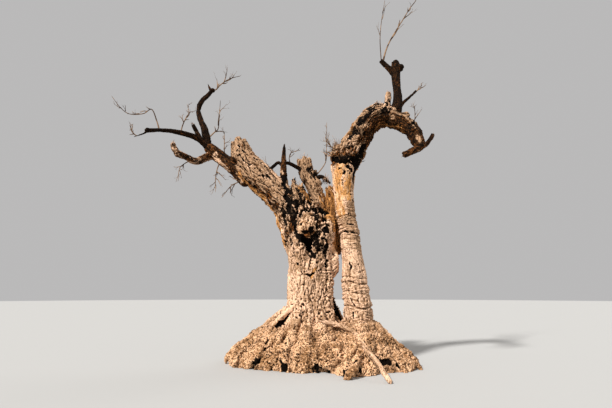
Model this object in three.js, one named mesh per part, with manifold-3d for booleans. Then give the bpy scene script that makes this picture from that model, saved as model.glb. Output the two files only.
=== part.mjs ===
// A dead, weathered tree on a heap of knotted roots: a hollow main trunk that ends in a long
// broken limb, and a second stem that arches over to the right and droops. No leaves are left.
// Millimetres, +Z up, +X to the tree's right, -Y to its front. The ground is the plane Z = 0.
import * as THREE from "three";
import { mergeVertices } from "three/addons/utils/BufferGeometryUtils.js";
import Module from "manifold-3d";

const wasm = await Module();
wasm.setup();

// Driving dimensions
const TREE_HEIGHT = 9750; // ground to the tip of the longest shoot
const GAP = 0.4; // clearance between two neighbouring pieces of wood
const MAIN_AXIS = { x: -246, y: 130 }; // centre of the main trunk at its foot
const SECOND_AXIS = { x: 780, y: -100 }; // centre of the second stem at its foot
const TRUNK_RADIUS = 480;
const STEM_RADIUS = 285;
const ROOT_RADIUS = 105; // a root where it leaves the trunk
const ROOT_SINK = 0.6; // share of a root's thickness that lies inside the heap
const TWIG_SIDES = 3;
const TWIG_STEPS = 3; // straight stretches in one twig
const TWIG_RADIUS = 8; // the thinnest twig at its root
const TWIG_TAPER = 0.7; // a twig's thickness over that of its parent
const TWIG_WANDER = 0.55;

// Finishes
const finish = (color, roughness) =>
  new THREE.MeshStandardMaterial({ color, roughness, metalness: 0 });
const finishes = {
  heap: finish(0xb7946f, 0.95),
  bark: finish(0xbf9f7c, 0.9),
  bare: finish(0xd6a05a, 0.75),
  dark: finish(0x4a3426, 0.85),
  twig: finish(0x8a7159, 0.85),
};

// A closed geometry as a solid that can be joined and cut.
function solid(geometry) {
  geometry.deleteAttribute("normal");
  geometry.deleteAttribute("uv");
  const merged = mergeVertices(geometry, 0.01);
  const mesh = new wasm.Mesh({
    numProp: 3,
    vertProperties: merged.attributes.position.array,
    triVerts: new Uint32Array(merged.index.array),
  });
  return new wasm.Manifold(mesh);
}

function join(solids) {
  return solids.reduce((whole, next) => whole.add(next));
}

// A value between the entries of a list, for a share from 0 to 1 of the way along it.
function along(values, share) {
  const at = share * (values.length - 1);
  const index = Math.min(Math.floor(at), values.length - 2);
  return THREE.MathUtils.lerp(values[index], values[index + 1], at - index);
}

// The rings of a limb whose path is a list of [x, y, z, radius].
function ringsOf(path, steps) {
  const curve = new THREE.CatmullRomCurve3(path.map(([x, y, z]) => new THREE.Vector3(x, y, z)));
  const radii = path.map((row) => row[3]);
  const rings = [];
  let side = null;
  for (let step = 0; step <= steps; step++) {
    const share = step / steps;
    const tangent = curve.getTangent(share);
    if (!side) {
      side = new THREE.Vector3(1, 0, 0);
      if (Math.abs(tangent.x) > 0.8) side.set(0, 0, 1);
    }
    side = side.clone().addScaledVector(tangent, -side.dot(tangent)).normalize();
    const depth = side.clone().cross(tangent);
    rings.push({ centre: curve.getPoint(share), tangent, side, depth, radius: along(radii, share) });
  }
  return rings;
}

// A tapering limb. Its skin swells and dips by the share "lumps", and its far end is "broken" by
// that share of its radius, or "pointed". "flat" is its depth over its width.
function limb(path, form = {}) {
  const { sides = 8, steps = 8, lumps = 0, flat = 1, broken = 0, pointed = false, grow = 0 } = form;
  const rings = ringsOf(path, steps);
  const geometry = new THREE.CylinderGeometry(pointed ? 0 : 1, 1, 1, sides, steps);
  const vertices = geometry.attributes.position;
  for (let i = 0; i < vertices.count; i++) {
    const share = vertices.getY(i) + 0.5;
    const ring = rings[Math.round(share * steps)];
    const angle = Math.atan2(vertices.getX(i), vertices.getZ(i));
    const onSkin = Math.hypot(vertices.getX(i), vertices.getZ(i)) > 1e-6;
    const wave = (Math.sin(3 * angle + 9 * share) + Math.sin(5 * angle - 13 * share + 1)) / 2;
    const radius = onSkin ? ring.radius * (1 + lumps * wave) + grow : 0;
    const rag = broken * ring.radius * (onSkin ? Math.sin(4 * angle + 1) : -0.8);
    const push = (share > 0.999 ? rag + grow : 0) - (share < 0.001 ? grow : 0);
    const point = ring.centre
      .clone()
      .addScaledVector(ring.side, Math.sin(angle) * radius)
      .addScaledVector(ring.depth, Math.cos(angle) * radius * flat)
      .addScaledVector(ring.tangent, push);
    vertices.setXYZ(i, point.x, point.y, point.z);
  }
  return solid(geometry);
}

// A knot or wart on a limb.
function knot([x, y, z, radius], { flat = 0.85, grow = 0 } = {}) {
  const geometry = new THREE.IcosahedronGeometry(radius + grow, 1);
  geometry.scale(1, 1, flat).translate(x, y, z);
  return solid(geometry);
}

// The flare of roots round the foot of a stem: [height, radius] levels, stretched by a share of
// their own for the left, right, front and back, with lobes and folds that grow downwards.
// A fold of positive depth is a cleft, and one of negative depth a bulge.
function flareRadius({ levels, stretch, trunk, lobes, phase, folds }, height, angle) {
  const [x, y] = [Math.cos(angle), Math.sin(angle)];
  const upper = levels.findIndex((level) => level[0] >= height);
  const above = levels[Math.max(upper, 1)];
  const below = levels[Math.max(upper, 1) - 1];
  const share = (height - below[0]) / (above[0] - below[0]);
  const radius = THREE.MathUtils.lerp(below[1], above[1], share);
  const sideways = x < 0 ? stretch.left : stretch.right;
  const deep = y < 0 ? stretch.front : stretch.back;
  const reach = sideways * x * x + deep * y * y;
  const low = 1 - height / levels.at(-1)[0];
  let wave = 0.07 * Math.sin(lobes * angle + phase) + 0.05 * Math.sin((2 * lobes + 3) * angle);
  for (const fold of folds) {
    const turn = Math.atan2(Math.sin(angle - fold.angle), Math.cos(angle - fold.angle));
    wave -= fold.depth * Math.exp(-((turn / fold.width) ** 2));
  }
  return trunk + (radius - trunk) * reach * (1 + low * wave);
}

function flare(shape, { sides = 30, grow = 0 } = {}) {
  const steps = shape.levels.length - 1;
  const geometry = new THREE.CylinderGeometry(1, 1, 1, sides, steps);
  const vertices = geometry.attributes.position;
  for (let i = 0; i < vertices.count; i++) {
    const reach = Math.hypot(vertices.getX(i), vertices.getZ(i));
    const angle = Math.atan2(-vertices.getZ(i), vertices.getX(i));
    const row = Math.round((vertices.getY(i) + 0.5) * steps);
    const height = shape.levels[row][0];
    const radius = reach > 0.5 ? flareRadius(shape, height, angle) + grow : 0;
    const rise = row === steps ? height + grow : height;
    vertices.setXYZ(
      i,
      shape.axis.x + radius * Math.cos(angle),
      shape.axis.y + radius * Math.sin(angle),
      rise,
    );
  }
  return solid(geometry);
}

// A root that runs down a flare at one angle, half sunk in it, and out into the ground.
function root(shape, angle, wander) {
  const heights = [0.86, 0.55, 0.28, 0.08, -0.06];
  const top = shape.levels.at(-1)[0];
  return heights.map((share, index) => {
    const height = share * top;
    const turned = angle + wander * Math.sin(index * 1.7 + angle * 3);
    const radius = ROOT_RADIUS * (1 - 0.1 * index);
    const reach = flareRadius(shape, Math.max(height, 0), turned) + radius * (1 - 2 * ROOT_SINK);
    return [
      shape.axis.x + reach * Math.cos(turned),
      shape.axis.y + reach * Math.sin(turned),
      height,
      radius,
    ];
  });
}

// Heap of roots
const degrees = Math.PI / 180;
const mainFlare = {
  axis: MAIN_AXIS,
  trunk: TRUNK_RADIUS,
  levels: [
    [0, 1850], [120, 1830], [310, 1690], [480, 1440], [640, 1160], [790, 870], [970, 660], [1220, 490],
  ],
  stretch: { left: 1, right: 0.52, front: 0.36, back: 0.68 },
  lobes: 7,
  phase: 0.6,
  folds: [
    { angle: 220 * degrees, width: 24 * degrees, depth: 0.42 },
    { angle: 296 * degrees, width: 14 * degrees, depth: -0.35 },
  ],
};
const secondFlare = {
  axis: SECOND_AXIS,
  trunk: STEM_RADIUS,
  levels: [
    [0, 1190], [110, 1110], [210, 950], [320, 820], [480, 740], [620, 620], [740, 450], [960, 290],
  ],
  stretch: { left: 0.8, right: 1.02, front: 0.82, back: 1.1 },
  lobes: 5,
  phase: 2.1,
  folds: [
    { angle: -103 * degrees, width: 10 * degrees, depth: -0.65 },
    { angle: -64 * degrees, width: 13 * degrees, depth: 0.4 },
  ],
};
const rootsOf = (shape, angles, wander) => angles.map((angle) => root(shape, angle * degrees, wander));
const roots = [
  ...rootsOf(mainFlare, [90, 115, 140, 164, 184, 207, 240, 264, 292], 0.07),
  ...rootsOf(secondFlare, [-84, -58, -33, -8, 18, 45, 78], 0.08),
];
// The thick root that runs down to the left over a dark cleft
const shoulderRoot = [
  [-600, -150, 1230, 80],
  [-800, -290, 980, 92],
  [-980, -380, 770, 84],
  [-1140, -440, 550, 74],
  [-1230, -480, 240, 60],
];
const cleft = [
  [-660, -320, 1085, 45],
  [-859, -430, 932, 62],
  [-1040, -490, 776, 68],
  [-1170, -550, 540, 62],
  [-1200, -580, 360, 48],
];

// Main trunk, up to its fork, with the two shoulders that its limbs leave from
const trunkLimbs = [
  [
    [MAIN_AXIS.x, MAIN_AXIS.y, 400, 520],
    [MAIN_AXIS.x, MAIN_AXIS.y, 1350, 488],
    [-250, 125, 1750, 468],
    [-222, 120, 2150, 478],
    [-210, 120, 2550, 530],
    [-200, 140, 2950, 545],
    [-200, 160, 3180, 430],
  ],
  [
    [-360, 120, 2350, 360],
    [-450, 115, 2700, 380],
    [-560, 118, 3020, 362],
    [-690, 125, 3330, 345],
  ],
  [
    [-40, 180, 2350, 380],
    [60, 230, 2750, 340],
    [70, 270, 3050, 250],
    [50, 290, 3260, 165],
  ],
];
// Tongue of bare wood on the trunk's right side
const tongue = [
  [120, 40, 2480, 70],
  [262, -10, 2270, 88],
  [296, -30, 2080, 92],
  [200, 10, 1850, 50],
];

// Fluted column down the trunk's right front
const column = [
  [70, -150, 2200, 120],
  [90, -140, 1670, 135],
  [85, -150, 1250, 140],
  [130, -270, 880, 120],
];
// Burl over the front hollow
const burl = [-290, -350, 2880, 185];

// Hollows: centre, half sizes and lean in degrees about the front-to-back axis
const hollows = [
  { at: [-300, -400, 2500], half: [120, 330, 275], lean: -20 },
  { at: [60, -150, 3130], half: [130, 330, 150], lean: 15 },
  { at: [-20, -330, 2900], half: [70, 150, 190], lean: -12 },
  { at: [-790, -250, 3330], half: [62, 190, 330], lean: 8 },
  { at: [-580, -330, 3080], half: [80, 130, 210], lean: 12 },
  { at: [-250, 560, 2500], half: [110, 260, 420], lean: 6 },
  { at: [330, -210, 1120], half: [70, 230, 250], lean: 10 },
];

function hollow({ at, half, lean, sides = 8 }) {
  const geometry = new THREE.SphereGeometry(1, sides, sides - 2);
  geometry.scale(...half).rotateY(lean * degrees).translate(...at);
  return solid(geometry);
}

// Dark undercuts where the heap meets the ground
const undercuts = [
  { shape: mainFlare, angles: [205, 226, 249, 268, 284, 128, 158, 100] },
  { shape: secondFlare, angles: [-104, -68, -45, -20, 32, 60] },
].flatMap(({ shape, angles }) =>
  angles.map((degree, index) => {
    const angle = degree * degrees;
    const reach = flareRadius(shape, 0, angle) * 0.99;
    const size = 1 + 0.35 * Math.sin(index * 2.3);
    return {
      at: [shape.axis.x + reach * Math.cos(angle), shape.axis.y + reach * Math.sin(angle), 25],
      half: [125 * size, 125 * size, 85 * size],
      lean: 0,
      sides: 6,
    };
  }),
);

const ground = () => solid(new THREE.BoxGeometry(9000, 9000, 2000).translate(0, 0, -1000));

function trunkSolid(grow) {
  const sides = [20, 11, 11];
  const steps = [9, 4, 4];
  const parts = [flare(mainFlare, { sides: 28, grow }), flare(secondFlare, { sides: 20, grow })];
  trunkLimbs.forEach((path, index) => {
    parts.push(limb(path, { sides: sides[index], steps: steps[index], lumps: 0.05, grow }));
  });
  for (const path of roots) {
    parts.push(limb(path, { sides: 5, steps: 3, lumps: 0.1, grow }));
  }
  parts.push(limb(shoulderRoot, { sides: 7, steps: 6, lumps: 0.1, grow }));
  parts.push(limb(tongue, { sides: 8, steps: 5, flat: 0.8, grow }));
  parts.push(limb(column, { sides: 7, steps: 4, lumps: 0.06, grow }));
  parts.push(knot(burl, { grow }));
  const whole = join(parts);
  if (grow) return whole;
  const cuts = [...[...hollows, ...undercuts].map(hollow), limb(cleft, { sides: 5, steps: 4 })];
  return whole.subtract(join(cuts)).subtract(ground());
}

// The tree, piece by piece: each new piece is cut clear of those it grows from.
const tree = new THREE.Group();
const placed = [];

function touches(a, b) {
  return [0, 1, 2].every((axis) => a.min[axis] <= b.max[axis] && b.min[axis] <= a.max[axis]);
}

function place(name, make, material) {
  let body = make(0);
  const cutter = make(GAP);
  for (const other of placed) {
    if (touches(other.boundingBox(), body.boundingBox())) body = body.subtract(other);
  }
  // A cut can leave a sliver beside the joint, so the largest body is the piece.
  body = body.decompose().reduce((largest, next) => (next.volume() > largest.volume() ? next : largest));
  placed.push(cutter);
  const { vertProperties, triVerts } = body.getMesh();
  const geometry = new THREE.BufferGeometry();
  geometry.setAttribute("position", new THREE.BufferAttribute(vertProperties, 3));
  geometry.setIndex(new THREE.BufferAttribute(triVerts, 1));
  const mesh = new THREE.Mesh(geometry, material);
  mesh.name = name;
  tree.add(mesh);
}

place("trunk", trunkSolid, finishes.heap);

// Limbs and boughs: path rows are [x, y, z, radius]
const limbs = {
  second_stem: {
    material: finishes.bark, sides: 14, steps: 20, lumps: 0.05,
    path: [
      [790, -100, 760, 310], [776, -100, 1205, 290], [774, -100, 1250, 303], [771, -100, 1295, 285],
      [748, -100, 1500, 273], [743, -100, 1541, 285], [738, -100, 1582, 268], [718, -100, 1730, 259],
      [714, -100, 1770, 271], [710, -100, 1810, 254], [690, -100, 2150, 228], [668, -100, 2450, 210],
      [640, -100, 2795, 198], [634, -99, 2840, 212], [628, -98, 2880, 196], [584, -95, 3155, 203],
      [577, -95, 3200, 219], [571, -95, 3245, 203], [530, -90, 3800, 218], [545, -75, 4250, 262],
      [625, -60, 4600, 300],
    ],
    knots: [[430, -110, 4600, 165], [560, -270, 4480, 150], [760, -30, 4420, 150], [640, 150, 4620, 170]],
  },
  arch_bough: {
    material: finishes.bark, sides: 12, steps: 8, lumps: 0.07,
    path: [
      [600, -60, 4480, 250], [740, -70, 4795, 289], [885, -90, 5060, 243], [1055, -130, 5340, 232],
      [1280, -180, 5555, 254], [1560, -230, 5625, 251],
    ],
    knots: [[1380, -240, 5735, 169], [1000, -280, 5225, 119], [450, -120, 4740, 130]],
  },
  droop_bough_upper: {
    material: finishes.bark, sides: 10, steps: 5, lumps: 0.09,
    path: [
      [1485, -220, 5610, 207], [1700, -285, 5470, 173], [1865, -360, 5360, 164], [2030, -450, 5200, 164],
    ],
    knots: [[2020, -500, 5275, 105], [2125, -400, 5245, 100]],
  },
  droop_bough_lower: {
    material: finishes.bark, sides: 8, steps: 4, lumps: 0.09,
    path: [
      [1995, -430, 5255, 114], [2095, -520, 5035, 152], [2155, -620, 4785, 118], [2180, -680, 4610, 87],
    ],
  },
  droop_prong_inner: {
    material: finishes.bark, sides: 7, steps: 3, lumps: 0.12, broken: 0.3,
    path: [[2190, -680, 4630, 57], [2005, -740, 4535, 65], [1885, -780, 4470, 56], [1775, -810, 4410, 59]],
  },
  droop_prong_outer: {
    material: finishes.bark, sides: 6, steps: 3, lumps: 0.1, broken: 0.3,
    path: [[2180, -680, 4630, 49], [2285, -720, 4685, 48], [2365, -750, 4765, 40], [2450, -780, 4905, 34]],
  },
  arch_side_stub: {
    material: finishes.bark, sides: 7, steps: 3, lumps: 0.1, broken: 0.3,
    path: [[1725, -290, 5530, 87], [1860, -230, 5595, 66], [1990, -180, 5625, 57], [2090, -140, 5655, 65]],
  },
  arch_top_stub: {
    material: finishes.bark, sides: 7, steps: 3, lumps: 0.16, broken: 0.4,
    path: [[1575, -220, 5720, 81], [1615, -200, 6010, 65], [1635, -190, 6120, 60], [1645, -180, 6205, 53]],
  },
  crown_bough: {
    material: finishes.dark, sides: 9, steps: 7, lumps: 0.06,
    path: [
      [1690, -240, 5580, 153], [1800, -180, 5760, 130], [1870, -110, 6025, 100], [1890, -20, 6365, 92],
      [1900, 60, 6735, 94], [1915, 110, 7005, 114], [1925, 140, 7220, 79],
    ],
    knots: [[2030, 120, 7050, 92]],
  },
  crown_arm: {
    material: finishes.dark, sides: 7, steps: 4, lumps: 0.1, broken: 0.2,
    path: [[1875, 90, 6860, 77], [1780, 110, 6990, 71], [1665, 110, 7110, 58], [1555, 100, 7240, 51]],
  },
  side_shoot: {
    material: finishes.dark, sides: 6, steps: 3, lumps: 0.05,
    path: [[1905, -150, 5845, 48], [1995, -230, 5940, 38], [2125, -320, 6035, 30], [2255, -400, 6145, 25]],
  },
  left_limb: {
    material: finishes.bark, sides: 14, steps: 9, lumps: 0.06, broken: 0.35,
    path: [
      [-640, 120, 3200, 300], [-745, 140, 3450, 312], [-1135, 220, 3885, 307], [-1615, 330, 4350, 312],
      [-1890, 430, 4745, 267], [-2040, 500, 5200, 169],
    ],
    knots: [[-2050, 350, 4635, 153]],
  },
  rim_wall: {
    material: finishes.bark, sides: 8, steps: 4, lumps: 0.14, broken: 0.5, flat: 0.7,
    path: [[-450, 60, 3050, 200], [-480, 60, 3350, 190], [-520, 80, 3650, 150], [-560, 100, 3950, 90]],
    splinters: [
      [[-330, 30, 3080, 110], [-330, 40, 3450, 95], [-400, 60, 3800, 60], [-430, 80, 4030, 18]],
      [[-180, 60, 3060, 110], [-170, 80, 3350, 84], [-230, 90, 3600, 50], [-290, 100, 3800, 16]],
      [[-600, 60, 3300, 120], [-640, 70, 3700, 80], [-620, 90, 4050, 40], [-590, 100, 4190, 14]],
    ],
  },
  rim_spike: {
    material: finishes.bark, sides: 6, steps: 4, lumps: 0.1, pointed: true,
    path: [
      [-850, 180, 3800, 110], [-875, 190, 4150, 86], [-882, 195, 4500, 62], [-872, 200, 4840, 42],
      [-862, 205, 5085, 12],
    ],
  },
  rim_branch: {
    material: finishes.bark, sides: 5, steps: 4, lumps: 0.1,
    path: [[-900, 200, 4480, 34], [-1000, 210, 4575, 36], [-1100, 190, 4500, 36], [-1210, 160, 4380, 38]],
  },
  middle_stub: {
    material: finishes.bark, sides: 11, steps: 7, lumps: 0.08, broken: 0.3,
    path: [
      [60, 280, 3130, 160], [30, 310, 3455, 142], [-60, 380, 3795, 147], [-200, 460, 4115, 152],
      [-330, 540, 4460, 171], [-400, 590, 4755, 154],
    ],
    knots: [[-70, 440, 4120, 110], [-160, 470, 4380, 100]],
  },
  stub_side_branch: {
    material: finishes.dark, sides: 5, steps: 3, lumps: 0.1, broken: 0.3,
    path: [[-85, 470, 4240, 61], [35, 455, 4290, 50], [140, 420, 4225, 35], [250, 390, 4095, 26]],
  },
  cross_branch: {
    material: finishes.bark, sides: 6, steps: 3, lumps: 0.1,
    path: [[-870, 230, 4570, 34], [-745, 320, 4585, 40], [-565, 420, 4525, 45], [-400, 490, 4420, 51]],
  },
  dead_strip: {
    material: finishes.bare, sides: 8, steps: 7, lumps: 0.1, broken: 0.5, flat: 0.55,
    path: [
      [430, 130, 2350, 45], [380, 170, 2520, 115], [352, 195, 2750, 140], [337, 205, 3120, 163],
      [295, 225, 3600, 158], [215, 265, 3960, 100],
    ],
  },
  left_branch: {
    material: finishes.bark, sides: 10, steps: 5, lumps: 0.1,
    path: [
      [-1715, 300, 4150, 185], [-1995, 380, 4435, 178], [-2300, 400, 4655, 150], [-2565, 400, 4855, 138],
      [-2770, 380, 5035, 118],
    ],
  },
  upright_bough_lower: {
    material: finishes.dark, sides: 8, steps: 5, lumps: 0.05,
    path: [
      [-2715, 390, 4925, 82], [-2845, 450, 5325, 96], [-2935, 540, 5605, 87], [-3070, 640, 5885, 75],
      [-3170, 740, 6150, 66],
    ],
  },
  upright_bough_upper: {
    material: finishes.dark, sides: 8, steps: 5, lumps: 0.08,
    path: [
      [-3165, 735, 6115, 52], [-3160, 780, 6340, 66], [-3090, 850, 6535, 64], [-2995, 900, 6680, 64],
      [-2895, 930, 6835, 59],
    ],
    knots: [[-2870, 930, 6855, 77]],
  },
  upright_prong: {
    material: finishes.dark, sides: 5, steps: 3, lumps: 0.1, pointed: true,
    path: [[-2890, 925, 6810, 52], [-2955, 940, 6935, 39], [-3020, 950, 7085, 10]],
  },
  across_bough: {
    material: finishes.dark, sides: 8, steps: 7, lumps: 0.07,
    path: [
      [-2720, 370, 4980, 93], [-2890, 290, 5135, 86], [-3030, 180, 5205, 78], [-3225, 30, 5235, 70],
      [-3490, -150, 5230, 59], [-3720, -330, 5180, 53], [-3950, -500, 5110, 53],
    ],
    knots: [[-3940, -500, 5115, 71]],
  },
  across_tip: {
    material: finishes.dark, sides: 5, steps: 3, lumps: 0.05,
    path: [
      [-3940, -490, 5105, 39], [-4005, -540, 5020, 27], [-4095, -600, 4950, 20], [-4180, -640, 4895, 16],
    ],
  },
  fork_stub: {
    material: finishes.dark, sides: 7, steps: 3, lumps: 0.15, broken: 0.4,
    path: [[-2925, 270, 5190, 62], [-3020, 240, 5345, 60], [-3080, 225, 5460, 56], [-3130, 210, 5560, 45]],
  },
  low_bough: {
    material: finishes.bark, sides: 8, steps: 6, lumps: 0.08,
    path: [
      [-2665, 390, 4825, 103], [-2845, 300, 4710, 90], [-2935, 190, 4605, 80], [-3055, 70, 4585, 74],
      [-3175, -50, 4635, 72], [-3305, -140, 4670, 80],
    ],
    knots: [[-3330, -145, 4675, 92]],
  },
  low_bough_end: {
    material: finishes.bark, sides: 7, steps: 3, lumps: 0.15, broken: 0.4,
    path: [
      [-3325, -150, 4680, 35], [-3380, -190, 4745, 69], [-3425, -210, 4830, 58], [-3440, -220, 4900, 49],
    ],
  },
  back_stub: {
    material: finishes.bark, sides: 10, steps: 5, lumps: 0.08, broken: 0.35,
    path: [[-170, 380, 2250, 260], [-130, 640, 2560, 215], [-60, 860, 2900, 190], [20, 980, 3260, 165]],
    knots: [[-190, 760, 2850, 120]],
  },
  long_root: {
    material: finishes.bark, sides: 6, steps: 10, lumps: 0.08,
    path: [
      [-95, -520, 975, 34], [60, -500, 915, 37], [220, -450, 875, 38], [505, -470, 785, 38],
      [625, -570, 725, 38], [780, -890, 485, 37], [865, -1080, 375, 36], [960, -1320, 275, 34],
      [1025, -1590, 130, 32], [1080, -1830, 30, 27],
    ],
  },
};

for (const [name, shape] of Object.entries(limbs)) {
  const make = (grow) => {
    const sliver = { sides: 6, steps: 3, flat: 0.6, grow };
    const splinters = (shape.splinters ?? []).map((path) => limb(path, sliver));
    const knots = (shape.knots ?? []).map((row) => knot(row, { grow }));
    return join([limb(shape.path, { ...shape, grow }), ...splinters, ...knots]);
  };
  place(name, make, shape.material);
}

// Twigs
// Repeatable draws between 0 and 1.
function draws(seed) {
  let state = seed >>> 0;
  return () => {
    state = (state + 0x6d2b79f5) >>> 0;
    let mixed = Math.imul(state ^ (state >>> 15), 1 | state);
    mixed = (mixed + Math.imul(mixed ^ (mixed >>> 7), 61 | mixed)) ^ mixed;
    return ((mixed ^ (mixed >>> 14)) >>> 0) / 4294967296;
  };
}

// A place, heading and radius part way along a path of [x, y, z, radius] rows.
function partWay(rows, share) {
  const at = share * (rows.length - 1);
  const index = Math.min(Math.floor(at), rows.length - 2);
  const [from, to] = [rows[index], rows[index + 1]];
  const row = from.map((value, axis) => THREE.MathUtils.lerp(value, to[axis], at - index));
  const heading = new THREE.Vector3(to[0] - from[0], to[1] - from[1], to[2] - from[2]).normalize();
  return { row, heading };
}

// One twig: it leaves its parent at "spread" from the parent's heading, wanders, and rises.
function twigRows(parent, share, length, { spread, lift }, draw) {
  const { row, heading } = partWay(parent, share);
  const side = new THREE.Vector3(draw() - 0.5, draw() - 0.5, draw() - 0.5).cross(heading).normalize();
  heading.multiplyScalar(Math.cos(spread)).addScaledVector(side, Math.sin(spread));
  const radius = Math.max(row[3] * TWIG_TAPER, TWIG_RADIUS);
  const rows = [[row[0], row[1], row[2], radius]];
  for (let step = 1; step <= TWIG_STEPS; step++) {
    heading.x += TWIG_WANDER * (draw() - 0.5);
    heading.y += TWIG_WANDER * (draw() - 0.5);
    heading.z += TWIG_WANDER * (draw() - 0.5) + lift;
    heading.normalize();
    const last = rows.at(-1);
    const reach = length / TWIG_STEPS;
    rows.push([
      last[0] + heading.x * reach,
      last[1] + heading.y * reach,
      last[2] + heading.z * reach,
      radius * (1 - step / (TWIG_STEPS + 1)),
    ]);
  }
  return rows;
}

// A mass of bare twigs that branch from one stem. A twig that would leave the mass's space, or
// touch a limb or another mass, is left out with all that would grow from it.
function mass(name, { stem, shoots, length, room = 260, spread = 0.8, lift = 0.12, seed }) {
  const low = [0, 1, 2].map((axis) => Math.min(...stem.map((row) => row[axis])) - room);
  const high = [0, 1, 2].map((axis) => Math.max(...stem.map((row) => row[axis])) + room);
  high[2] = Math.min(high[2], TREE_HEIGHT);
  const inside = (row) => [0, 1, 2].every((axis) => row[axis] > low[axis] && row[axis] < high[axis]);
  const twigs = [limb(stem, { sides: 4, steps: stem.length - 1, pointed: true })];
  const branch = (parent, level, count, longest, key) => {
    for (let index = 0; index < count; index++) {
      const draw = draws(key * 31 + index);
      const share = 0.3 + (0.65 * (index + draw())) / count;
      const reach = longest * (0.6 + 0.7 * draw()) * (1.15 - 0.6 * share);
      const rows = twigRows(parent, share, reach, { spread, lift }, draw);
      const twig = limb(rows, { sides: TWIG_SIDES, steps: level, pointed: true });
      const box = twig.boundingBox();
      const blocked = placed.some(
        (other) => touches(other.boundingBox(), box) && !other.intersect(twig).isEmpty(),
      );
      if (blocked || !rows.every(inside)) continue;
      twigs.push(twig);
      if (level > 1) branch(rows, level - 1, 1, longest * 0.5, key * 31 + index + 7);
    }
  };
  branch(stem, 2, shoots, length, seed);
  place(name, () => join(twigs), finishes.twig);
}

// Masses of twigs: the stem's rows are [x, y, z, radius]
mass("twigs_crown_long", {
  seed: 11, shoots: 4, length: 520, spread: 0.45,
  stem: [
    [1595, 102, 7165, 41], [1680, 110, 7485, 32], [1800, 130, 7785, 28], [2005, 160, 8155, 26],
    [2220, 190, 8525, 22], [2405, 220, 8845, 19], [2600, 250, 9145, 15], [2740, 280, TREE_HEIGHT, 9],
  ],
});
mass("twigs_crown_pale", {
  seed: 12, shoots: 3, length: 380, spread: 0.4,
  stem: [
    [1560, 100, 7225, 20], [1545, 60, 7770, 17], [1560, 30, 8040, 14], [1600, 0, 8345, 13],
    [1695, -40, 8885, 8],
  ],
});
mass("twigs_side_shoot", {
  seed: 13, shoots: 3, length: 170, room: 160,
  stem: [[2220, -385, 6115, 23], [2305, -440, 6160, 19], [2430, -500, 6210, 10]],
});
mass("twigs_upright_tip", {
  seed: 14, shoots: 4, length: 480, spread: 0.7, lift: 0.3, room: 420,
  stem: [
    [-2890, 925, 6845, 35], [-2780, 950, 6890, 30], [-2675, 970, 7035, 25], [-2435, 1010, 7240, 18],
    [-2155, 1060, 7360, 10],
  ],
});
mass("twigs_upright_side", {
  seed: 15, shoots: 4, length: 420, room: 330,
  stem: [
    [-2815, 450, 5265, 31], [-2660, 490, 5460, 25], [-2585, 540, 5565, 21], [-2575, 580, 5930, 16],
    [-2565, 600, 6410, 9],
  ],
});
mass("twigs_across_middle", {
  seed: 16, shoots: 4, length: 330, room: 300,
  stem: [
    [-3330, -70, 5225, 23], [-3290, -40, 5460, 21], [-3240, -10, 5630, 19], [-3185, 20, 5790, 14],
    [-3255, 40, 6025, 9],
  ],
});
mass("twigs_across_far", {
  seed: 17, shoots: 4, length: 300, room: 220,
  stem: [
    [-3735, -340, 5180, 31], [-3790, -380, 5375, 24], [-3930, -420, 5665, 19], [-4075, -470, 5535, 17],
    [-4395, -510, 5510, 15], [-4600, -540, 5660, 12], [-4820, -560, 5940, 8],
  ],
});
mass("twigs_across_tip", {
  seed: 18, shoots: 4, length: 240, room: 240,
  stem: [[-4125, -610, 4930, 22], [-4205, -640, 4990, 17], [-4270, -660, 5160, 9]],
});
mass("twigs_low_bough", {
  seed: 19, shoots: 4, length: 260, lift: -0.12,
  stem: [[-3085, 40, 4570, 25], [-3215, 0, 4475, 17], [-3300, -30, 4365, 13], [-3310, -60, 4020, 8]],
});
mass("twigs_left_branch", {
  seed: 20, shoots: 4, length: 300, lift: -0.12,
  stem: [[-2435, 380, 4675, 30], [-2500, 340, 4470, 21], [-2525, 300, 4165, 17], [-2505, 270, 3845, 8]],
});
mass("twigs_limb_under", {
  seed: 21, shoots: 4, length: 280, lift: -0.08,
  stem: [[-1870, 350, 4230, 30], [-1925, 310, 4140, 24], [-2115, 270, 4025, 19], [-2350, 220, 3705, 8]],
});
mass("twigs_limb_top", {
  seed: 22, shoots: 4, length: 240,
  stem: [[-2310, 380, 4700, 25], [-2365, 420, 4920, 19], [-2385, 450, 5250, 15], [-2400, 470, 5480, 8]],
});
mass("twigs_rim", {
  seed: 23, shoots: 4, length: 220, room: 220,
  stem: [[-717, 322, 4563, 22], [-748, 240, 4700, 17], [-700, 180, 4810, 14], [-460, 140, 4870, 8]],
});
mass("twigs_middle_stub", {
  seed: 24, shoots: 4, length: 280, room: 220,
  stem: [[-85, 480, 4330, 26], [150, 540, 4700, 18], [180, 590, 5140, 13], [195, 630, 5810, 8]],
});
mass("twigs_collar", {
  seed: 25, shoots: 5, length: 260,
  stem: [[430, -130, 4700, 24], [250, -260, 4800, 17], [145, -330, 4895, 13], [95, -380, 5000, 8]],
});
mass("twigs_droop", {
  seed: 26, shoots: 4, length: 240,
  stem: [[2105, -440, 5265, 19], [2160, -460, 5405, 15], [2170, -460, 5575, 11], [2175, -450, 5755, 8]],
});
mass("twigs_arch", {
  seed: 27, shoots: 4, length: 220,
  stem: [[965, -250, 5025, 24], [945, -400, 5035, 18], [935, -470, 5080, 13], [935, -510, 5210, 8]],
});
mass("twigs_back_stub", {
  seed: 28, shoots: 4, length: 360, room: 320,
  stem: [[20, 1000, 3200, 30], [30, 1130, 3420, 24], [-60, 1250, 3640, 17], [-90, 1330, 3960, 9]],
});
mass("twigs_back_limb", {
  seed: 29, shoots: 4, length: 360, room: 320,
  stem: [[-1250, 380, 3960, 30], [-1330, 680, 4180, 24], [-1360, 860, 4460, 17], [-1330, 960, 4800, 9]],
});

export default tree;
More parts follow.
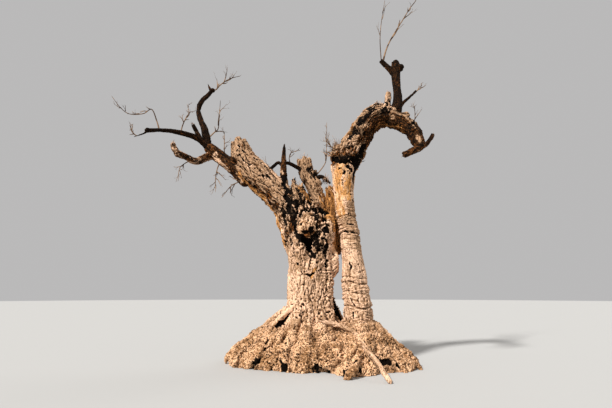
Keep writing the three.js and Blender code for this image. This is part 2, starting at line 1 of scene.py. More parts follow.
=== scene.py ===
# A dead, weathered tree on a heap of knotted roots: a hollow main trunk that ends in a long broken
# limb, and a second stem that arches over to the right and droops. Metres, +Z up, -Y is its front.
import math

import bpy
import numpy as np
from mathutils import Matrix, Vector
from mathutils.bvhtree import BVHTree


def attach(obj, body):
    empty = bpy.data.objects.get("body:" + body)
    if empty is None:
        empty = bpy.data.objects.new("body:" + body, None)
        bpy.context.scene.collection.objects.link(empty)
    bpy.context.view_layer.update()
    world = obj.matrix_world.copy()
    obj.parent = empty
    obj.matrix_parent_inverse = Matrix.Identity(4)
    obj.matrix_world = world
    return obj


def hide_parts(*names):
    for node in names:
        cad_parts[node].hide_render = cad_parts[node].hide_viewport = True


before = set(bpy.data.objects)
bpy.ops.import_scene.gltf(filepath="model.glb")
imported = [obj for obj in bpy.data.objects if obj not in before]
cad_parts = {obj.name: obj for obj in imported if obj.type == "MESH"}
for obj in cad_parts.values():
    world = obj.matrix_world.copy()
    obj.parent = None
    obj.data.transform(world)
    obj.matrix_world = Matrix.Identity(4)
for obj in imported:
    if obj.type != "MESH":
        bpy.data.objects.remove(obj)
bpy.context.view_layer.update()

# Camera
# A wide lens held at head height nine metres in front of the tree, tipped up by 12 degrees.
bpy.ops.object.select_all(action="DESELECT")
bpy.ops.object.camera_add(location=(-0.34, -9.2, 1.5), rotation=(math.radians(102.3), 0, 0))
camera = bpy.context.object
camera.name = "camera"
camera.data.lens = 24
bpy.context.scene.camera = camera

# Floor and light
# A plain pale floor that runs out to a pale sky, one broad light from the upper left front, and a
# weaker one from the back right.
bpy.ops.mesh.primitive_circle_add(vertices=128, radius=90, fill_type="NGON", location=(0, 0, -0.002))
floor = bpy.context.object
floor.name = "floor"


def new_finish(name):
    """A new material and its shader."""
    material = bpy.data.materials.new(name)
    material.use_nodes = True
    return material, material.node_tree.nodes["Principled BSDF"]


paint, shader = new_finish("floor_paint")
shader.inputs["Base Color"].default_value = (0.42, 0.41, 0.39, 1)
shader.inputs["Roughness"].default_value = 0.95
floor.data.materials.append(paint)

for name, source, energy, softness in (
    ("key_light", (-0.7, -0.8, 0.95), 5.2, 6),
    ("rim_light", (0.8, 0.5, 0.6), 0.6, 30),
):
    turn = Vector(source).to_track_quat("Z", "Y").to_euler()
    bpy.ops.object.light_add(type="SUN", location=Vector(source) * 12, rotation=turn)
    bpy.context.object.name = name
    bpy.context.object.data.energy = energy
    bpy.context.object.data.angle = math.radians(softness)
world = bpy.data.worlds.new("studio")
world.use_nodes = True
world.node_tree.nodes["Background"].inputs["Color"].default_value = (0.93, 0.92, 0.92, 1)
world.node_tree.nodes["Background"].inputs["Strength"].default_value = 0.53
bpy.context.scene.world = world
bpy.context.scene.view_settings.view_transform = "Standard"

# Root heap, hollow trunk and left limb
# One body of dead wood: knotted roots run into a crumbling heap, the trunk above it is split and burnt out
# in front, and its left shoulder carries the long broken limb. The CAD trunk and the limbs and roots grown
# along their centre lines are melted into one skin, with plates, cracks, pits and crumbs raised on that
# skin.
main_limbs = {
    "left_limb": dict(lumps=0.06, broken=0.35, knots=[(-2050, 350, 4635, 153)], path=[
        (-640, 120, 3200, 300), (-745, 140, 3450, 312), (-1135, 220, 3885, 307), (-1615, 330, 4350, 312),
        (-1890, 430, 4745, 267), (-2040, 500, 5200, 169)]),
    "left_branch": dict(lumps=0.1, path=[
        (-1715, 300, 4150, 185), (-1995, 380, 4435, 178), (-2300, 400, 4655, 150), (-2565, 400, 4855, 138),
        (-2770, 380, 5035, 118)]),
    "rim_wall": dict(lumps=0.14, flat=0.7, broken=0.5, splinters=[
        [(-330, 30, 3080, 110), (-330, 40, 3450, 95), (-400, 60, 3800, 60), (-430, 80, 4030, 18)],
        [(-180, 60, 3060, 110), (-170, 80, 3350, 84), (-230, 90, 3600, 50), (-290, 100, 3800, 16)],
        [(-600, 60, 3300, 120), (-640, 70, 3700, 80), (-620, 90, 4050, 40), (-590, 100, 4190, 14)],
    ], path=[
        (-450, 60, 3050, 200), (-480, 60, 3350, 190), (-520, 80, 3650, 150), (-560, 100, 3950, 90)]),
    "rim_spike": dict(lumps=0.1, pointed=True, path=[
        (-850, 180, 3800, 110), (-875, 190, 4150, 86), (-882, 195, 4500, 62), (-872, 200, 4840, 42),
        (-862, 205, 5085, 12)]),
    "middle_stub": dict(lumps=0.08, broken=0.3, knots=[
        (-70, 440, 4120, 110), (-160, 470, 4380, 100),
    ], path=[
        (60, 280, 3130, 160), (30, 310, 3455, 142), (-60, 380, 3795, 147), (-200, 460, 4115, 152),
        (-330, 540, 4460, 171), (-400, 590, 4755, 154)]),
    "back_stub": dict(lumps=0.08, broken=0.35, knots=[(-190, 760, 2850, 120)], path=[
        (-170, 380, 2250, 260), (-130, 640, 2560, 215), (-60, 860, 2900, 190), (20, 980, 3260, 165)]),
    "dead_strip": dict(lumps=0.1, flat=0.55, broken=0.5, splinters=[
        [(250, -40, 2440, 45), (268, -110, 2320, 82), (282, -135, 2190, 92), (262, -125, 2060, 80),
         (225, -90, 1920, 40)],
    ], path=[
        (430, 130, 2350, 45), (380, 170, 2520, 115), (352, 195, 2750, 140), (337, 205, 3120, 163),
        (295, 225, 3600, 158), (215, 265, 3960, 100)]),
}


mm = 0.001


def rings_of(rows, spacing):
    """Rings along the smooth curve through a limb's [x, y, z, radius] rows, which are in mm."""
    points = np.array([row[:3] for row in rows]) * mm
    radii = np.array([row[3] for row in rows]) * mm
    steps = max(2, math.ceil(np.linalg.norm(np.diff(points, axis=0), axis=1).sum() / spacing))
    ghosts = np.vstack([2 * points[0] - points[1], points, 2 * points[-1] - points[-2]])
    share = np.linspace(0, len(points) - 1, steps + 1)
    index = np.minimum(share.astype(int), len(points) - 2)
    t = (share - index)[:, None]
    a, b, c, d = (ghosts[index + k] for k in range(4))
    ab, bc, cd = (np.linalg.norm(q - p, axis=1)[:, None] ** 0.5 for p, q in ((a, b), (b, c), (c, d)))
    start = ((b - a) / ab - (c - a) / (ab + bc) + (c - b) / bc) * bc
    end = ((c - b) / bc - (d - b) / (bc + cd) + (d - c) / cd) * bc
    square, cube = 3 * (c - b) - 2 * start - end, 2 * (b - c) + start + end
    centres = b + start * t + square * t**2 + cube * t**3
    tangents = start + 2 * square * t + 3 * cube * t**2
    tangents /= np.linalg.norm(tangents, axis=1)[:, None]
    side = np.array([0.0, 0, 1]) if abs(tangents[0][0]) > 0.8 else np.array([1.0, 0, 0])
    sides = []
    for tangent in tangents:
        side = side - tangent * (side @ tangent)
        side = side / np.linalg.norm(side)
        sides.append(side)
    sides = np.array(sides)
    lengths = np.concatenate([[0], np.cumsum(np.linalg.norm(np.diff(centres, axis=0), axis=1))])
    return {
        "centres": centres, "tangents": tangents, "sides": sides, "depths": np.cross(sides, tangents),
        "radii": np.interp(share, np.arange(len(rows)), radii), "lengths": lengths,
    }


def tube_faces(rings, around):
    """Faces of a tube of rings of points, closed by one more point at its foot and one at its top."""
    here = np.arange(around)
    after = (here + 1) % around
    foot, last = rings * around, (rings - 1) * around
    faces = []
    for low in range(0, last, around):
        high = low + around
        faces += np.stack([low + here, low + after, high + after, high + here], 1).tolist()
    faces += np.stack([here * 0 + foot, after, here], 1).tolist()
    return faces + np.stack([here * 0 + foot + 1, last + here, last + after], 1).tolist()


def limb_skin(rows, lumps=0, flat=1, broken=0, pointed=False, around=28, spacing=0.05, **_):
    """Points and faces of a closed, tapering limb that swells, dips and ends broken or pointed."""
    rings = rings_of(rows, spacing)
    count = len(rings["radii"])
    angle = np.arange(around) * 2 * math.pi / around
    share = np.linspace(0, 1, count)[:, None]
    wave = (np.sin(3 * angle + 9 * share) + np.sin(5 * angle - 13 * share + 1)) / 2
    radius = rings["radii"][:, None] * (1 + lumps * wave)
    if pointed:
        radius[-1] = 0.1 * radius[-2]
    end = broken * rings["radii"][-1]
    push = np.zeros((count, around))
    push[-1] = end * np.sin(4 * angle + 1)
    skin = rings["centres"][:, None] + rings["tangents"][:, None] * push[..., None]
    skin = skin + rings["sides"][:, None] * (np.sin(angle) * radius)[..., None]
    skin = skin + rings["depths"][:, None] * (np.cos(angle) * radius * flat)[..., None]
    tip = rings["centres"][-1] - 0.8 * end * rings["tangents"][-1]
    return np.vstack([skin.reshape(-1, 3), rings["centres"][0], tip]), tube_faces(count, around)


def knot_skin(row):
    """A knot or wart on a limb: a ball that is pressed a little flat."""
    levels, around, press = 9, 16, 0.85
    turn = np.linspace(0, 2 * math.pi, around + 1)[:-1]
    rise = np.linspace(-math.pi / 2, math.pi / 2, levels + 2)[1:-1]
    ball = np.stack([np.outer(np.cos(rise), np.cos(turn)), np.outer(np.cos(rise), np.sin(turn)),
                     np.repeat(np.sin(rise)[:, None] * press, around, 1)], 2).reshape(-1, 3)
    ball = np.vstack([ball, [[0, 0, -press], [0, 0, press]]])
    return ball * row[3] * mm + np.array(row[:3]) * mm, tube_faces(levels, around)


def joined(name, skins):
    """One object from many skins of points and faces."""
    points, faces, base = [], [], 0
    for skin, corners in skins:
        points.append(skin)
        faces += [[base + corner for corner in face] for face in corners]
        base += len(skin)
    mesh = bpy.data.meshes.new(name)
    mesh.from_pydata(np.vstack(points).tolist(), [], faces)
    mesh.update()
    piece = bpy.data.objects.new(name, mesh)
    bpy.context.scene.collection.objects.link(piece)
    return piece


def alone(piece):
    """Selects one piece and nothing else."""
    bpy.ops.object.select_all(action="DESELECT")
    piece.select_set(True)
    bpy.context.view_layer.objects.active = piece


def limb_skins(limbs, **form):
    """The skins of several limbs, of their splinters and of their knots."""
    skins = []
    for limb in limbs.values():
        skins.append(limb_skin(limb["path"], **{**limb, **form}))
        skins += [limb_skin(path, flat=0.6, around=12) for path in limb.get("splinters", [])]
        skins += [knot_skin(row) for row in limb.get("knots", [])]
    return skins


def one_skin(piece, voxel, rounds):
    """Melts overlapping limbs into one skin of even small faces, and smooths their joints."""
    alone(piece)
    melt = piece.modifiers.new("melt", "REMESH")
    melt.mode = "VOXEL"
    melt.voxel_size = voxel
    smooth = piece.modifiers.new("smooth", "SMOOTH")
    smooth.factor = 0.5
    smooth.iterations = rounds
    for modifier in ("melt", "smooth"):
        bpy.ops.object.modifier_apply(modifier=modifier)


def vectors_of(piece, field):
    """The place, "co", or the "normal" of each point of a piece."""
    flat = np.empty(len(piece.data.vertices) * 3)
    piece.data.vertices.foreach_get(field, flat)
    return flat.reshape(-1, 3)


def write_data(piece, name, values):
    """Stores one number or one vector for each point of a piece."""
    kind = "FLOAT" if values.ndim == 1 else "FLOAT_VECTOR"
    layer = piece.data.attributes.new(name, kind, "POINT")
    layer.data.foreach_set("value" if values.ndim == 1 else "vector", values.astype(np.float32).ravel())


def read_grain(piece, paths):
    """Stores, for each point, its place along and across the nearest limb, the same for the next
    nearest limb, how far the two blend, and how thick the limb is there."""
    points = vectors_of(piece, "co")
    rings = [rings_of(path, 0.06) for path in paths]
    ratio = np.empty((len(points), len(rings)))
    place = np.empty((len(points), len(rings)), dtype=int)
    batch = 50000
    for number, ring in enumerate(rings):
        for start in range(0, len(points), batch):
            part = slice(start, start + batch)
            apart = ((points[part, None] - ring["centres"]) ** 2).sum(2) / ring["radii"] ** 2
            place[part, number] = apart.argmin(1)
            ratio[part, number] = apart.min(1) ** 0.5
    order = np.argsort(ratio, axis=1)
    every = np.arange(len(points))
    nearest, second = order[:, 0], order[:, min(1, len(rings) - 1)]
    for name, chosen in (("grain", nearest), ("grain2", second)):
        grain = np.empty((len(points), 3))
        for number, ring in enumerate(rings):
            mine = chosen == number
            at = place[mine, number]
            off = points[mine] - ring["centres"][at]
            flare = np.maximum(ratio[mine, number], 1)
            grain[mine] = np.stack([
                (off * ring["sides"][at]).sum(1) / flare + 3.7 * number,
                (off * ring["depths"][at]).sum(1) / flare,
                (off * ring["tangents"][at]).sum(1) + ring["lengths"][at] - (flare - 1) * ring["radii"][at],
            ], 1)
        write_data(piece, name, grain)
    gap = ratio[every, second] - ratio[every, nearest]
    write_data(piece, "join", np.clip(0.5 - 1.6 * gap, 0, 0.5) * (len(rings) > 1))
    girth = np.empty(len(points))
    for number, ring in enumerate(rings):
        mine = nearest == number
        girth[mine] = ring["radii"][place[mine, number]]
    write_data(piece, "girth", girth)
    return points


def nearness(points, marks):
    """1 on a marked line, down to 0 at its radius, with an uneven edge. A mark is (radius, [points])
    in mm."""
    waves = [np.sin(points[:, [1, 2, 0]] * pitch + 2 * np.cos(points[:, [2, 0, 1]] * pitch * 0.7)) / pitch
             for pitch in (11, 23, 47)]
    points = points + 0.35 * sum(waves)
    near = np.zeros(len(points))
    for radius, line in marks:
        line = np.array(line, dtype=float) * mm
        for a, b in zip(line[:-1], line[1:]):
            share = np.clip((points - a) @ (b - a) / ((b - a) @ (b - a)), 0, 1)[:, None]
            apart = np.linalg.norm(points - a - share * (b - a), axis=1)
            near = np.maximum(near, 1 - apart / (radius * mm))
    return near


def marked(points, marks, gain=1, most=1):
    """How strongly each point is marked, from 0 to most."""
    return np.clip(nearness(points, marks) * gain, 0, most)


class Signal:
    """A value on its way through a node tree, so that relief and colours are written as sums."""

    def __init__(self, tools, socket):
        self.tools = tools
        self.socket = socket

    def __add__(self, other):
        return self.tools.math("ADD", self, other)

    __radd__ = __add__

    def __sub__(self, other):
        return self.tools.math("SUBTRACT", self, other)

    def __rsub__(self, other):
        return self.tools.math("SUBTRACT", other, self)

    def __mul__(self, other):
        return self.tools.math("MULTIPLY", self, other)

    __rmul__ = __mul__


class Tools:
    """Adds nodes to one node tree."""

    def __init__(self, tree):
        self.tree = tree

    def node(self, kind, settings=None, values=None, output=0):
        made = self.tree.nodes.new(kind)
        for name, value in (settings or {}).items():
            setattr(made, name, value)
        for key, value in (values or {}).items():
            if isinstance(value, Signal):
                self.tree.links.new(value.socket, made.inputs[key])
            else:
                made.inputs[key].default_value = value
        return Signal(self, made.outputs[output])

    def math(self, operation, *values):
        return self.node("ShaderNodeMath", {"operation": operation}, dict(enumerate(values)))

    def stretched(self, vector, along, across=1):
        """A place scaled along the grain, which is its Z, and across it."""
        scale = (across, across, along)
        return self.node("ShaderNodeVectorMath", {"operation": "MULTIPLY"}, {0: vector, 1: scale})

    def shifted(self, vector, by):
        return self.node("ShaderNodeVectorMath", {"operation": "ADD"}, {0: vector, 1: by})

    def noise(self, vector, scale, detail=2.0, roughness=0.5, output=0):
        values = {"Vector": vector, "Scale": scale, "Detail": detail, "Roughness": roughness}
        return self.node("ShaderNodeTexNoise", {}, values, output)

    def cells(self, vector, scale, feature="F1"):
        values = {"Vector": vector, "Scale": scale}
        return self.node("ShaderNodeTexVoronoi", {"feature": feature}, values, "Distance")

    def step(self, value, low, high):
        """0 below low, 1 above high, and smooth between."""
        return self.node("ShaderNodeMapRange", {"interpolation_type": "SMOOTHSTEP"},
                         {0: value, 1: low, 2: high, 3: 0.0, 4: 1.0})

    def blend(self, share, first, second):
        """A number that is first at share 0 and second at share 1."""
        return self.node("ShaderNodeMix", {"data_type": "FLOAT"}, {0: share, 2: first, 3: second})

    def tint(self, share, first, second):
        """A colour that is first at share 0 and second at share 1."""
        return self.node("ShaderNodeMix", {"data_type": "RGBA"}, {0: share, 6: first, 7: second}, 2)


def limb_relief(tools, grain, wrinkle, coarse):
    """Height of the skin along one limb: swellings, flaking plates, wrinkles, pits and fibres."""
    drift = tools.noise(grain, 3.0, 1.0, output="Color")
    warped = tools.shifted(grain, tools.stretched(drift, 0.2, 0.12))
    swell = tools.noise(tools.stretched(warped, 0.6), 2.6, 2.0) - 0.5
    plates = tools.cells(tools.stretched(warped, 0.25), 9.0, "SMOOTH_F1")
    crack = tools.noise(tools.stretched(warped, 0.16), 9.0, 2.0)
    crack = tools.step(tools.math("ABSOLUTE", crack - 0.5), 0.0, 0.04)
    strands = tools.noise(tools.stretched(warped, 0.12), 15.0, 3.0, 0.6) - 0.5
    folds = tools.noise(tools.stretched(warped, 2.4, 0.35), 7.0, 3.0, 0.6)
    folds = tools.math("ABSOLUTE", folds - 0.5)
    pit = 1 - tools.step(tools.cells(warped, 8.5), 0.1, 0.36)
    rare = tools.step(tools.noise(warped, 3.1, 1.0), 0.47, 0.6)
    chips = tools.noise(warped, 21.0, 3.0, 0.7) - 0.5
    rough = (0.4 - plates) * 0.05 + chips * 0.1 + crack * 0.045 + strands * 0.12 - pit * rare * 0.09
    return swell * 0.12 + rough * coarse + folds * (0.04 + wrinkle * 0.3)


def heap_relief(tools, position):
    """Height of the skin of the root heap: swellings, tangled strings of fine roots, and pits."""
    drift = tools.noise(position, 2.2, 2.0, output="Color")
    warped = tools.shifted(position, tools.stretched(drift, 0.4, 0.4))
    ground = tools.noise(position, 1.7, 2.0) - 0.5
    lumps = 0.5 - tools.cells(warped, 4.0, "SMOOTH_F1")
    height = ground * 0.16 + lumps * 0.11
    for scale, rise in ((5.0, 0.014), (12.0, 0.01), (22.0, 0.009)):
        string = tools.math("ABSOLUTE", tools.noise(warped, scale, 1.0) - 0.5)
        height = height + (1 - tools.step(string, 0.0, 0.075)) * rise
    pits = tools.step(tools.noise(warped, 9.0, 5.0, 0.8), 0.54, 0.66)
    chips = tools.noise(position, 27.0, 4.0, 0.85) - 0.5
    return height - pits * 0.05 + chips * 0.11


def wood_relief():
    """Raises the relief on a skin, and stores how deep each point lies below those around it."""
    tree = bpy.data.node_groups.new("wood_relief", "GeometryNodeTree")
    tree.interface.new_socket("Geometry", in_out="INPUT", socket_type="NodeSocketGeometry")
    tree.interface.new_socket("Geometry", in_out="OUTPUT", socket_type="NodeSocketGeometry")
    tools = Tools(tree)

    def stored(name, kind="FLOAT"):
        return tools.node("GeometryNodeInputNamedAttribute", {"data_type": kind}, {"Name": name})

    def store(skin, name, value):
        return tools.node("GeometryNodeStoreNamedAttribute", {"data_type": "FLOAT", "domain": "POINT"},
                          {"Geometry": skin, "Name": name, "Value": value})

    position = tools.node("GeometryNodeInputPosition")
    wrinkle, coarse = stored("wrinkle"), stored("coarse")
    grain = stored("grain", "FLOAT_VECTOR")
    first = limb_relief(tools, grain, wrinkle, coarse)
    second = limb_relief(tools, stored("grain2", "FLOAT_VECTOR"), wrinkle, coarse)
    girth = tools.math("MINIMUM", stored("girth"), 0.34)
    limbs = tools.blend(stored("join"), first, second) * (girth * 2.2 + 0.08)
    height = tools.blend(stored("heap"), limbs, heap_relief(tools, position)) - stored("sink")
    ragged = tools.noise(tools.stretched(grain, 0.4), 7.0, 4.0, 0.65) - 0.5
    # Black places from the dark marks: real char, and painted shade in the deep hollow, the recesses and
    # under the collar. They are also sunk a little into the skin.
    char_and_shade = tools.step(stored("dark") * 1.1 + ragged * 1.9, 0.42, 0.62)
    streaks = tools.noise(tools.stretched(grain, 0.12), 11.0, 3.0, 0.6) - 0.5
    bared = tools.step(stored("bare") * 1.1 + streaks * 1.5, 0.38, 0.5)
    height = height - char_and_shade * girth * 0.13 - bared * 0.006
    skin = store(tools.node("NodeGroupInput"), "height", height)
    height = stored("height")
    skin = store(store(skin, "char_and_shade", char_and_shade), "bared", bared)
    around = tools.node("GeometryNodeBlurAttribute", {"data_type": "FLOAT"}, {0: height, "Iterations": 8})
    skin = store(skin, "hollow", around - height)
    normal = tools.node("GeometryNodeInputNormal")
    offset = tools.node("ShaderNodeVectorMath", {"operation": "SCALE"}, {0: normal, "Scale": height})
    skin = tools.node("GeometryNodeSetPosition", {}, {"Geometry": skin, "Offset": offset})
    end = tree.nodes.new("NodeGroupOutput")
    tree.links.new(skin.socket, end.inputs[0])
    return tree


relief = wood_relief()


def raise_relief(piece):
    """Gives a skin its relief for good, and shades it smooth."""
    alone(piece)
    piece.modifiers.new("relief", "NODES").node_group = relief
    bpy.ops.object.modifier_apply(modifier="relief")
    piece.data.shade_smooth()


def cut_out(source, name, planes):
    """A closed copy of what lies behind some planes. Each plane is a point on it and its normal."""
    piece = bpy.data.objects.new(name, source.data.copy())
    bpy.context.scene.collection.objects.link(piece)
    alone(piece)
    bpy.ops.object.mode_set(mode="EDIT")
    bpy.ops.mesh.select_mode(type="EDGE")
    for point, normal in planes:
        bpy.ops.mesh.select_all(action="SELECT")
        bpy.ops.mesh.bisect(plane_co=point, plane_no=normal, clear_outer=True)
        bpy.ops.mesh.select_all(action="DESELECT")
        bpy.ops.mesh.select_non_manifold(use_wire=False, use_multi_face=False, use_non_contiguous=False,
                                         use_verts=False)
        bpy.ops.mesh.fill_holes(sides=0)
        bpy.ops.mesh.faces_shade_flat()
        bpy.ops.mesh.quads_convert_to_tris()
    bpy.ops.object.mode_set(mode="OBJECT")
    piece.data.name = name
    return piece


def share_out(source, parts):
    """Cuts a skin into its pieces. Each has its planes, its slot, which is not used, and the solids that it
    replaces.
    """
    for name, (planes, slot, nodes) in parts.items():
        piece = cut_out(source, name, planes)
        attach(piece, "root")
        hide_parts(*nodes)
    bpy.data.objects.remove(source)


def finish_wood():
    """Weathered wood: pale, mottled high places, painted shade that darkens pits and cracks, charred black
    stains that also paint the shade in deep recesses, old dark bark, and bare golden wood where the bark
    has gone."""
    material, shader = new_finish("weathered_bark")
    tools = Tools(material.node_tree)

    def stored(name, output="Fac"):
        return tools.node("ShaderNodeAttribute", {"attribute_name": name}, output=output)

    brown, rust, black = (0.13, 0.055, 0.018, 1), (0.21, 0.075, 0.02, 1), (0.004, 0.002, 0.001, 1)
    amber, gold, bleach = (0.15, 0.06, 0.016, 1), (0.66, 0.3, 0.085, 1), (0.82, 0.52, 0.3, 1)
    place = tools.node("ShaderNodeTexCoord", output="Object")
    grain = stored("grain", "Vector")
    hollow, heap, worn = stored("hollow"), stored("heap"), stored("worn")
    broad = tools.noise(place, 2.3, 4.0, 0.6)
    mottle = tools.noise(tools.stretched(grain, 0.4), 8.0, 5.0, 0.7)
    streaks = tools.noise(tools.stretched(grain, 0.2), 21.0, 4.0, 0.7)
    fine = tools.noise(place, 17.0, 4.0, 0.7)
    specks = tools.noise(place, 34.0, 3.0, 0.7)
    fibre = tools.noise(tools.stretched(grain, 0.07), 60.0, 3.0, 0.7)
    pale = tools.tint(heap, (0.8, 0.51, 0.33, 1), (0.77, 0.46, 0.26, 1))
    tan = tools.tint(heap, (0.42, 0.25, 0.14, 1), (0.35, 0.18, 0.08, 1))
    # Hollows of the relief turn the pale wood tan: painted shade.
    high = tools.step(broad - hollow * 14 + (fine - 0.5) * 0.9 - worn * 0.22, 0.4, 0.64)
    skin = tools.tint(high, tan, pale)
    marks = tools.blend(heap, mottle * 0.5 + streaks * 0.5, mottle)
    skin = tools.tint(tools.step(marks + (specks - 0.5) * 0.5, 0.5, 0.6) * 0.75, skin, brown)
    # In old bark the hollows go black: painted shade.
    rind = streaks + (fine - 0.5) * 0.8 - hollow * 12 - worn * 0.05
    rind = tools.tint(tools.step(rind, 0.5, 0.66), black, rust)
    old = tools.step(stored("tone") + (mottle - 0.5) * 1.3 + (streaks - 0.5) * 0.8, 0.42, 0.58)
    skin = tools.tint(old, skin, rind)
    bare = tools.step(stored("bared") + (fine - 0.5) * 0.5, 0.35, 0.6)
    golden = tools.step(fibre + (streaks - 0.5) * 0.6 - worn * 0.1, 0.38, 0.56)
    golden = tools.tint(golden, amber, gold)
    bleached = tools.step(broad * 0.6 + streaks * 0.9 - worn * 0.2, 0.79, 0.89) * 0.85
    golden = tools.tint(bleached, golden, bleach)
    skin = tools.tint(bare * 0.92, skin, golden)
    # Painted shade: brown in shallow hollows and black in deep ones.
    skin = tools.tint(tools.step(hollow + (specks - 0.5) * 0.018, -0.001, 0.01) * 0.85, skin, brown)
    deep = tools.step(hollow + (specks - 0.5) * 0.02, 0.006, 0.014)
    # Black from the dark marks: char, and painted shade where recesses lie in shadow.
    black_char_and_shade = tools.step(stored("char_and_shade") + (fine - 0.5) * 0.9 + (streaks - 0.5) * 0.9, 0.35, 0.6)
    black_char_and_shade = black_char_and_shade * (1 - tools.step(fine + (1 - stored("dark")) * 0.28, 0.68, 0.76) * 0.8)
    spots = streaks * (1 - heap) * 0.5 + specks * (heap * 0.5 + 0.5) + (fine - 0.5) * 0.6
    spots = tools.step(spots - bare * 0.1 + worn * 0.03, 0.57, 0.65)
    skin = tools.tint(tools.math("MAXIMUM", tools.math("MAXIMUM", deep, black_char_and_shade), spots), skin, black)
    shader.inputs["Specular IOR Level"].default_value = 0.08
    bump = tools.node("ShaderNodeBump", {}, {"Strength": 0.8, "Distance": 0.015,
                                             "Height": fine * 0.6 + specks * 0.5 + fibre * 0.35})
    for name, signal in (("Base Color", skin), ("Roughness", 0.95 - bare * 0.2), ("Normal", bump)):
        material.node_tree.links.new(signal.socket, shader.inputs[name])
    return material


bark = finish_wood()

trunk_paths = [
    [(-246, 130, -300, 560), (-246, 130, 400, 540), (-246, 130, 1350, 488), (-250, 125, 1750, 468),
     (-222, 120, 2150, 478), (-210, 120, 2550, 530), (-200, 140, 2950, 545), (-200, 160, 3180, 430)],
    [(-360, 120, 2350, 360), (-450, 115, 2700, 380), (-560, 118, 3020, 362), (-690, 125, 3330, 345)],
    [(-40, 180, 2350, 380), (60, 230, 2750, 340), (70, 270, 3050, 250), (50, 290, 3260, 165)],
]
trunk = bpy.data.objects.new("main_stem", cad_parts["trunk"].data.copy())
bpy.context.scene.collection.objects.link(trunk)
alone(trunk)
bpy.ops.object.mode_set(mode="EDIT")
bpy.ops.mesh.select_all(action="SELECT")
bpy.ops.mesh.remove_doubles(threshold=0.0002)
bpy.ops.object.mode_set(mode="OBJECT")
# The flat cut is sunk, so that the melted skin is cut again at the ground with a sharp edge.
flat_cut, sunk = 0.001, -0.12
for vertex in trunk.data.vertices:
    if vertex.co.z < flat_cut:
        vertex.co.z = sunk
# The flare of roots round the foot of each stem, as [height, radius] levels in mm, stretched by a
# share of their own to the left, right, front and back, with lobes, clefts and bulges.
main_flare = {
    "axis": (-246, 130), "trunk": 480, "stretch": (1, 0.52, 0.36, 0.68), "lobes": 7, "phase": 0.6,
    "levels": [(0, 1850), (120, 1830), (310, 1690), (480, 1440), (640, 1160), (790, 870), (970, 660),
               (1220, 490)],
    "folds": [(220, 24, 0.42), (296, 14, -0.35)],
}
second_flare = {
    "axis": (780, -100), "trunk": 285, "stretch": (0.8, 1.02, 0.82, 1.1), "lobes": 5, "phase": 2.1,
    "levels": [(0, 1190), (110, 1110), (210, 950), (320, 820), (480, 740), (620, 620), (740, 450),
               (960, 290)],
    "folds": [(-103, 10, -0.65), (-64, 13, 0.4)],
}


def flare_radius(shape, height, angle):
    levels = np.array(shape["levels"], dtype=float)
    x, y = math.cos(angle), math.sin(angle)
    left, right, front, back = shape["stretch"]
    reach = (left if x < 0 else right) * x * x + (front if y < 0 else back) * y * y
    wave = 0.07 * math.sin(shape["lobes"] * angle + shape["phase"])
    wave += 0.05 * math.sin((2 * shape["lobes"] + 3) * angle)
    for at, width, depth in shape["folds"]:
        turn = math.remainder(angle - math.radians(at), 2 * math.pi)
        wave -= depth * math.exp(-((turn / math.radians(width)) ** 2))
    spread = np.interp(height, levels[:, 0], levels[:, 1]) - shape["trunk"]
    return shape["trunk"] + spread * reach * (1 + (1 - height / levels[-1, 0]) * wave)


def small_roots(shape, count, seed):
    """Roots half sunk in the flare that run down it and wander."""
    draw = np.random.default_rng(seed)
    paths = []
    for number in range(count):
        angle = (number + draw.uniform(-0.3, 0.3)) * 2 * math.pi / count
        thick = draw.uniform(28, 62)
        start = draw.uniform(0.62, 1.0)
        swing, turns, phase = draw.uniform(0.03, 0.11), draw.uniform(3, 6), draw.uniform(0, 6)
        path = []
        for share in np.linspace(start, -0.04, 10):
            height = share * shape["levels"][-1][0]
            turned = angle + swing * math.sin(turns * share + phase) + 0.015 * math.sin(19 * share + phase)
            radius = thick * (0.7 + 0.4 * math.sin(3 * share + 0.4))
            reach = flare_radius(shape, max(height, 0), turned) + 0.25 * radius
            path.append((shape["axis"][0] + reach * math.cos(turned),
                         shape["axis"][1] + reach * math.sin(turned), height, radius))
        paths.append(path)
    return paths


root_paths = small_roots(main_flare, 40, 5) + small_roots(second_flare, 26, 6)
root_paths.append([(170, 180, 1430, 60), (240, 190, 1220, 95), (320, 190, 1020, 115),
                   (420, 170, 820, 130)])
root_skins = [limb_skin(path, lumps=0.2, around=10) for path in root_paths]
limbs_skin = joined("main_limbs", limb_skins(main_limbs) + root_skins)
alone(trunk)
limbs_skin.select_set(True)
bpy.ops.object.join()
one_skin(trunk, voxel=0.0145, rounds=14)
points = read_grain(trunk, trunk_paths + [limb["path"] for limb in main_limbs.values()])
height = points[:, 2]
burl = (190, [(-420, -450, 2890), (-290, -480, 2850), (-170, -450, 2880)])
write_data(trunk, "heap", np.maximum(np.clip((1.08 - height) / 0.5, 0, 1), marked(points, [burl], 2, 0.75)))
groove = [(-677, -324, 1068), (-859, -419, 932), (-1040, -470, 776), (-1154, -518, 565), (-1187, -558, 377)]
